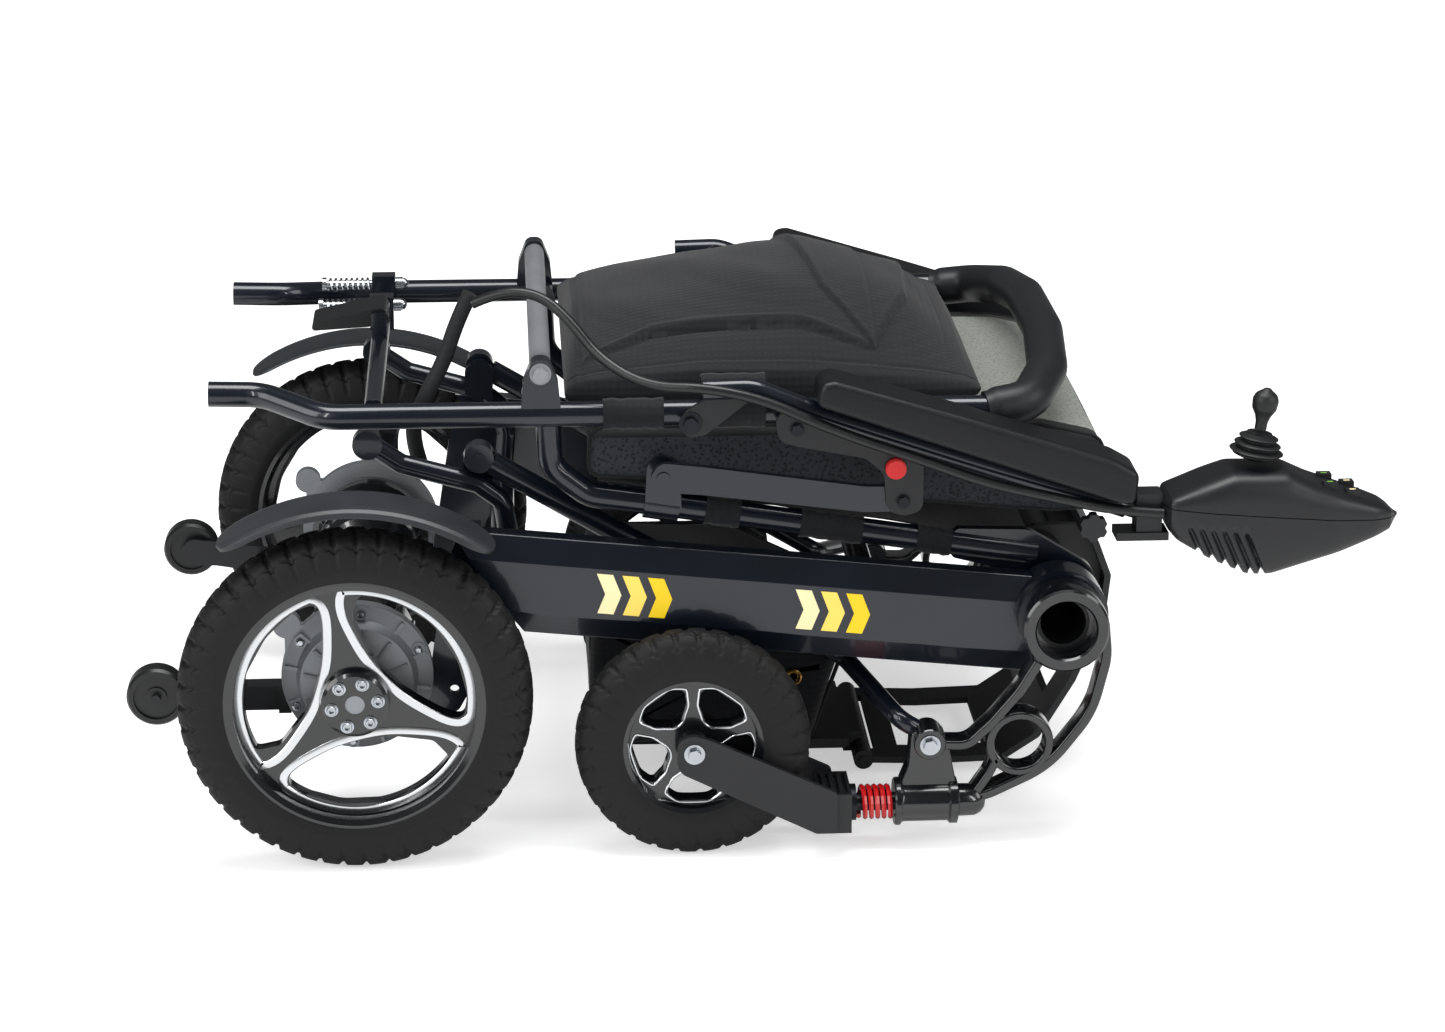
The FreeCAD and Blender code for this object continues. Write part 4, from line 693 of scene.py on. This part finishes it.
def back_top(x, y):
    """Height of the folded back cover: the edge's height, plus the crown's rise times 1 - (y / 186)^2.2,
    with long soft folds as sines of x and y, a pocket whose lip stands open, a flap and sewn seams."""
    edge = flowing(BACK_EDGE, x, 12)
    crown = flowing(BACK_CROWN, x, 14)
    shape = 1 - np.clip(np.abs(y) / 186, 0, 1) ** 2.2
    folds = (1.8 * np.sin(x / 26 + 1.7 * np.sin(y / 70)) * np.sin(y / 55 + x / 90)
             + 0.9 * np.sin(y / 19 + x / 40) * np.sin(x / 33)
             + 0.5 * np.sin(x / 11 + y / 37) * np.sin(y / 23))
    lip = y - flowing(POCKET, x, 10)
    within = risen(x, 196, 206) * (1 - risen(x, 452, 458))
    bow = np.sin(np.pi * np.clip((x - 200) / 254, 0, 1)) ** 0.7
    pocket = within * (risen(lip, -1.0, 1.2) * (2.4 + 4.2 * bow * np.exp(-np.clip(lip, 0, None) / 26))
                       + 0.9 * pulse(lip - 3.5, 2.6)
                       - 3.6 * bow * (1 - risen(lip, -1.5, 1.2)) * np.exp(np.clip(lip, None, 0) / 16))
    behind = x - np.interp(y, [p[1] for p in FLAP_NEAR[::-1]], [p[0] for p in FLAP_NEAR[::-1]])
    ahead = np.interp(y, [p[1] for p in FLAP_AHEAD], [p[0] for p in FLAP_AHEAD]) - x
    inset = np.minimum(behind, ahead) + np.where(y < -157, -20.0, 0.0)
    flap = risen(inset, -1.2, 1.0) * (2.4 + 2.0 * np.exp(-np.clip(inset, 0, None) / 20))
    flap = flap + 0.7 * pulse(inset - 4, 1.6)
    seams = pulse(x - 522, 1.6) + pulse(x - 200, 1.6) + pulse(np.abs(y) - 172, 1.6)
    raised = (pocket + flap) * risen(shape, 0.02, 0.2)
    return edge + (crown - edge) * shape + folds * shape + raised - 0.9 * seams


# Round the section by an angle v: y = 188 cos(v)^0.62 with the cosine's sign, and the height runs from the
# seam's height to the top above it, and 18 sin(v)^0.4 below it, drawn in at both ends.
BACK_START = 184
BACK_END = 545
BACK_SEAM = 396
BACK_TOP = 481
u = np.linspace(BACK_START, BACK_END, 240)[:, None]
v = np.linspace(0, 2 * np.pi, 340, endpoint=False)[None]
y = 188 * np.sign(np.cos(v)) * np.abs(np.cos(v)) ** 0.62
top = np.minimum(back_top(u, y + 0 * u), BACK_TOP)
z = np.where(np.sin(v) > 0, BACK_SEAM + (top - BACK_SEAM) * risen(np.sin(v), 0, 0.3),
             BACK_SEAM - 18 * np.abs(np.sin(v)) ** 0.4)
nip = np.clip(np.minimum(u - BACK_START, BACK_END - u) / 10, 0, 1) ** 0.5
z = BACK_SEAM + (z - BACK_SEAM) * (0.2 + 0.8 * nip)
skin = surface("back_cover", np.stack([u + 0 * y, y + 0 * u, z], -1), around=True, lids=True, crease=60)
back = piece("back_cover", skin, "back", canvas, ("back_sling",))


def sleeve(name, line, radius, ruck, body, squash=1.0):
    """A cloth sleeve round a bar: an ellipse of a radius across and squash times that upward, rucked by sines
    of the run and the turn, with a second skin 1 mm inside."""
    line = spaced(np.array(line, float), 40)
    turn = np.linspace(0, 2 * np.pi, 48, endpoint=False)[None]
    run = np.linspace(0, 1, 40)[:, None]
    girth = radius + ruck * np.sin(run * 19 + 2 * np.sin(turn)) * np.sin(turn * 2 + run * 5)
    outer = np.stack([girth * np.cos(turn), squash * girth * np.sin(turn)], -1)
    inner = np.stack([(girth - 1.0) * np.cos(turn), squash * (girth - 1.0) * np.sin(turn)], -1)
    grid = np.concatenate([carried(outer, line, (0, 0, 1)), carried(inner, line, (0, 0, 1))[::-1]])
    made = piece(name, surface(name, grid, around=True, along=True, crease=60), body, canvas)


for name, side in SIDES:
    sleeve("cane_sleeve_" + name, [(216, side * 215, 386), (268, side * 215, 386)], 13.4, 0.5, "back")
    sleeve("cane_strap_" + name, [(300, side * 217, 397), (355, side * 217, 397)], 16.5, 0.3, "back",
           1.45)
    for k, span in enumerate(((305, 335), (388, 442), (490, 520))):
        ends = [(x, side * 190, 297 - SEAT_FALL * (x - 265)) for x in span]
        sleeve(f"cushion_loop_{k}_{name}", ends, 12.6, 0.5, "seat")

# Foam grip: a circle carried round the push loop, pinched a little where it meets the canes.
GRIP = [(546, -213, 384, 0), (584, -207, 389, 30), (608, -150, 402, 55), (616, -60, 413, 60),
        (616, 60, 413, 60), (608, 150, 402, 55), (584, 207, 389, 30), (546, 213, 384, 0)]
loop = spaced(eased(GRIP, 12, closed=False), 200)
along = np.linspace(0, 1, 200)
girth = 18.0 * (1 - 0.12 * (pulse(along, 0.015) + pulse(along - 1, 0.015)))
profile = ring_of(1.0, 32)[None] * girth[:, None, None]
skin = surface("foam_grip_cover", carried(profile, loop, (0, 0, 1)), around=True, lids=True, crease=60)
grip = piece("foam_grip_cover", skin, "back", nitrile_foam, ("foam_grip",))


# ------------------------------------------------------------------------- joystick
# Half widths (x, y) of the case, and heights (x, z) of its underside, its top and the split between the two.
JOY_Y = -250.5
JOY_BACK = 690
JOY_FRONT = 901
STICK_FOOT = (774, JOY_Y, 343)
PLAN = [(690, 20), (700, 31), (735, 36), (780, 36.5), (842, 35), (878, 26), (895, 14), (901, 4)]
UNDERSIDE = [(690, 300), (706, 280), (736, 262), (768, 248), (788, 248), (850, 268), (894, 285), (901, 292)]
TOPSIDE = [(690, 315), (700, 321), (730, 334), (752, 342), (800, 341.5), (822, 331), (886, 308), (901, 297)]
SPLIT = [(690, 312.5), (901, 296)]


def shell(name, edge, gap, slots, node):
    """Half of the joystick case: each section is a superellipse, across = width cos(q)^0.45 and height =
    (edge - split) sin(q)^0.62, whose width, edge and split run smoothly along the case. Where it has slots,
    a slanted train of cooling slots draws the skin in."""
    run = 690.3 + 210.4 * (1 - np.cos(np.linspace(0, np.pi, 260))) / 2
    run = run[:, None]
    q = np.linspace(0, np.pi, 72)[None]
    nip = np.clip(np.minimum(run - JOY_BACK, JOY_FRONT - run) / 9, 0, 1) ** 0.5
    wide = flowing(PLAN, run, 8) * nip
    split = flowing(SPLIT, run, 4) + gap
    tall = (flowing(edge, run, 6) - split) * nip
    y = wide * np.sign(np.cos(q)) * np.abs(np.cos(q)) ** 0.45
    z = tall * np.sin(q) ** 0.62
    if slots:
        pitch = 9.5
        at = run + 0.45 * (z + 40) - 726
        train = at / pitch - np.round(at / pitch)
        inside = (at > -5) & (at < pitch * 5 + 5)
        sunk = pulse(train, 0.23) * inside * risen(-z, 12, 20) * risen(np.abs(y), 3, 9)
        y = y * (1 - 0.10 * sunk)
        z = z * (1 - 0.09 * sunk)
    grid = np.stack([run + 0 * y, JOY_Y + y, split + z], -1)
    piece(name, surface(name, grid, around=True, lids=True, crease=50), "joystick", black_abs,
          (node,))


shell("joystick_base_cover", UNDERSIDE, -0.4, True, "joystick_lower_shell")
shell("joystick_top_cover", TOPSIDE, 0.4, False, "joystick_upper_shell")
LEAN = math.radians(8)
STICK_AXIS = (math.sin(LEAN), 0, math.cos(LEAN))

# Bellows: the radius tapers with the height along the stick, plus a cosine for the folds, and is drawn in at
# both ends.
height = np.linspace(3.0, 28.0, 90)
bellows = 25.2 - 0.52 * (height - 3) + 2.6 * np.cos((height - 5.4) * 2 * np.pi / 6.1)
bellows = np.minimum(bellows, 8 + 2.5 * (height - 3))
bellows[-1] = 8.0
lathed("joystick_bellows", np.stack([bellows, height], -1), STICK_FOOT, STICK_AXIS, "joystick_gaiter",
       silicone, 72, ("joystick_gaiter",), 60)
height = np.linspace(31.0, 67.0, 70)
handle = flowing([(31, 5.2), (37, 5.2), (43, 7), (49, 10.6), (57, 11.4), (62, 9.4), (67, 2.4)], height, 2.5)
lathed("joystick_handle", np.stack([handle, height], -1), STICK_FOOT, STICK_AXIS, "joystick_stick",
       silicone, 64, ("joystick_stick",), 60)

# Keypad lights: small plates, domed by (1 - u^2)(1 - v^2), that follow the slope of the keys.
for k, (x, y, coat) in enumerate(((838, -13, green_lens), (838, 13, green_lens), (858, -13, film_pale),
                                  (858, 13, film_pale))):
    u = np.linspace(-1, 1, 7)[:, None]
    v = np.linspace(-1, 1, 7)[None]
    icon = np.stack([x + 2.6 * u + 0 * v, JOY_Y + y + 1.4 * v + 0 * u,
                     335.1 - 0.36 * (x - 822) + 0.15 * (1 - u ** 2) * (1 - v ** 2)], -1)
    piece(f"keypad_light_{k}", surface(f"keypad_light_{k}", icon), "joystick_keys", coat)


# ---------------------------------------------------------------------- beam chevrons
# The film lies just proud of the side beam's flat face, and the beam falls a little as x grows.
FILM_PLANE = 235.25
BEAM_FALL = 0.103
FILM_WIDE = 14
FILM_TALL = 36
FILM_NOSE = 7


def chevron(name, side, left, bottom, coat):
    """A chevron of film that points ahead: both ends are the same bent line, one moved ahead of the other."""
    t = np.linspace(0, 1, 9)
    shift = FILM_NOSE * (1 - np.abs(2 * t - 1))
    x = left + shift + FILM_WIDE * np.linspace(0, 1, 5)[:, None]
    z = bottom + FILM_TALL * t - BEAM_FALL * (x - left)
    grid = np.stack([x, side * FILM_PLANE + 0 * x, z], -1)
    piece(name, surface(name, grid), "main", coat)


for name, side in SIDES:
    for group, start in (("rear", 209), ("front", 381)):
        for k, coat in enumerate((film_pale, film_middle, film_strong)):
            left = start + 22 * k
            chevron(f"chevron_{group}_{k}_{name}", side, left, 213 - BEAM_FALL * (left - 206), coat)

# ------------------------------------------------------------------- studio and camera
# The floor is matt paper. To the camera alone it also glows, more with the distance, so it fades to white.
floor = bpy.data.meshes.new("floor")
floor.from_pydata([(-30, -30, 0), (30, -30, 0), (30, 30, 0), (-30, 30, 0)], [], [(0, 1, 2, 3)])
ground = bpy.data.objects.new("floor", floor)
bpy.context.scene.collection.objects.link(ground)
paper = bpy.data.materials.new("white_studio_paper")
paper.use_nodes = True
backdrop = paper.node_tree
backdrop.nodes.clear()
out = add(backdrop, "OutputMaterial")
rays = add(backdrop, "LightPath")
matt = add(backdrop, "BsdfDiffuse", {"Color": shade("#E8E8E8")})
spot = add(backdrop, "TexCoord").outputs["Object"]
away = add(backdrop, "VectorMath", {0: spot}, operation="LENGTH").outputs["Value"]
level = add(backdrop, "MapRange", {"Value": away, "From Min": 0.7, "From Max": 2.6, "To Min": 0.5,
                                   "To Max": 1.1})
glow = add(backdrop, "Emission", {"Color": (1, 1, 1, 1), "Strength": level.outputs[0]})
both = add(backdrop, "AddShader", {0: matt.outputs[0], 1: glow.outputs[0]})
mix = add(backdrop, "MixShader", {0: rays.outputs["Is Camera Ray"], 1: matt.outputs[0], 2: both.outputs[0]})
backdrop.links.new(mix.outputs[0], out.inputs[0])
floor.materials.append(paper)

# The world is white to the camera, and dim to the paint and metal.
world = bpy.data.worlds.new("studio")
bpy.context.scene.world = world
world.use_nodes = True
sky = world.node_tree
sky.nodes.clear()
out = add(sky, "OutputWorld")
rays = add(sky, "LightPath")
behind = add(sky, "Background", {"Color": (1, 1, 1, 1), "Strength": 1.0})
around_all = add(sky, "Background", {"Color": (1, 1, 1, 1), "Strength": 0.28})
mirrored = add(sky, "Background", {"Color": (1, 1, 1, 1), "Strength": 0.10})
mix = add(sky, "MixShader", {0: rays.outputs["Is Glossy Ray"], 1: around_all.outputs[0],
                             2: mirrored.outputs[0]})
mix = add(sky, "MixShader", {0: rays.outputs["Is Camera Ray"], 1: mix.outputs[0], 2: behind.outputs[0]})
sky.links.new(mix.outputs[0], out.inputs[0])


def softbox(name, place, aim, width, height, power, mirrored=True):
    """A soft rectangular lamp, turned to look at its aim, seen in reflections or not."""
    lamp = bpy.data.lights.new(name, "AREA")
    lamp.shape = "RECTANGLE"
    lamp.size, lamp.size_y = width, height
    lamp.energy = power
    made = bpy.data.objects.new(name, lamp)
    bpy.context.scene.collection.objects.link(made)
    made.location = place
    made.visible_glossy = mirrored
    look = np.array(aim, float) - np.array(place, float)
    made.rotation_mode = "QUATERNION"
    made.rotation_quaternion = Vector(look).to_track_quat("-Z", "Y")


softbox("top_box", (0.0, -0.3, 2.6), (0, 0, 0.2), 2.0, 1.2, 62)
softbox("left_box", (-2.4, -1.4, 1.4), (0, 0, 0.25), 1.4, 1.8, 30)
softbox("right_box", (2.6, -1.2, 1.6), (0, 0, 0.25), 1.4, 1.8, 26)
softbox("front_box", (0.3, -3.2, 1.0), (0, 0, 0.2), 2.6, 1.0, 20, mirrored=False)
softbox("strip_left", (-1.3, -2.0, 1.5), (-0.1, 0, 0.25), 0.16, 1.5, 9)
softbox("strip_right", (1.5, -2.2, 1.1), (0.2, 0, 0.25), 0.16, 1.4, 7)

CAMERA_PLACE = (-0.21773, -3.36856, 1.3021)
PITCH = math.radians(17.725)
YAW = math.radians(3.383)
lens = bpy.data.cameras.new("camera")
lens.sensor_width = 36.0
lens.lens = 95.4785
lens.clip_start = 0.1
lens.clip_end = 100
camera = bpy.data.objects.new("camera", lens)
bpy.context.scene.collection.objects.link(camera)
camera.location = CAMERA_PLACE
camera.rotation_euler = (math.pi / 2 - PITCH, 0.0, -YAW)
bpy.context.scene.camera = camera
bpy.context.scene.view_settings.view_transform = "Standard"
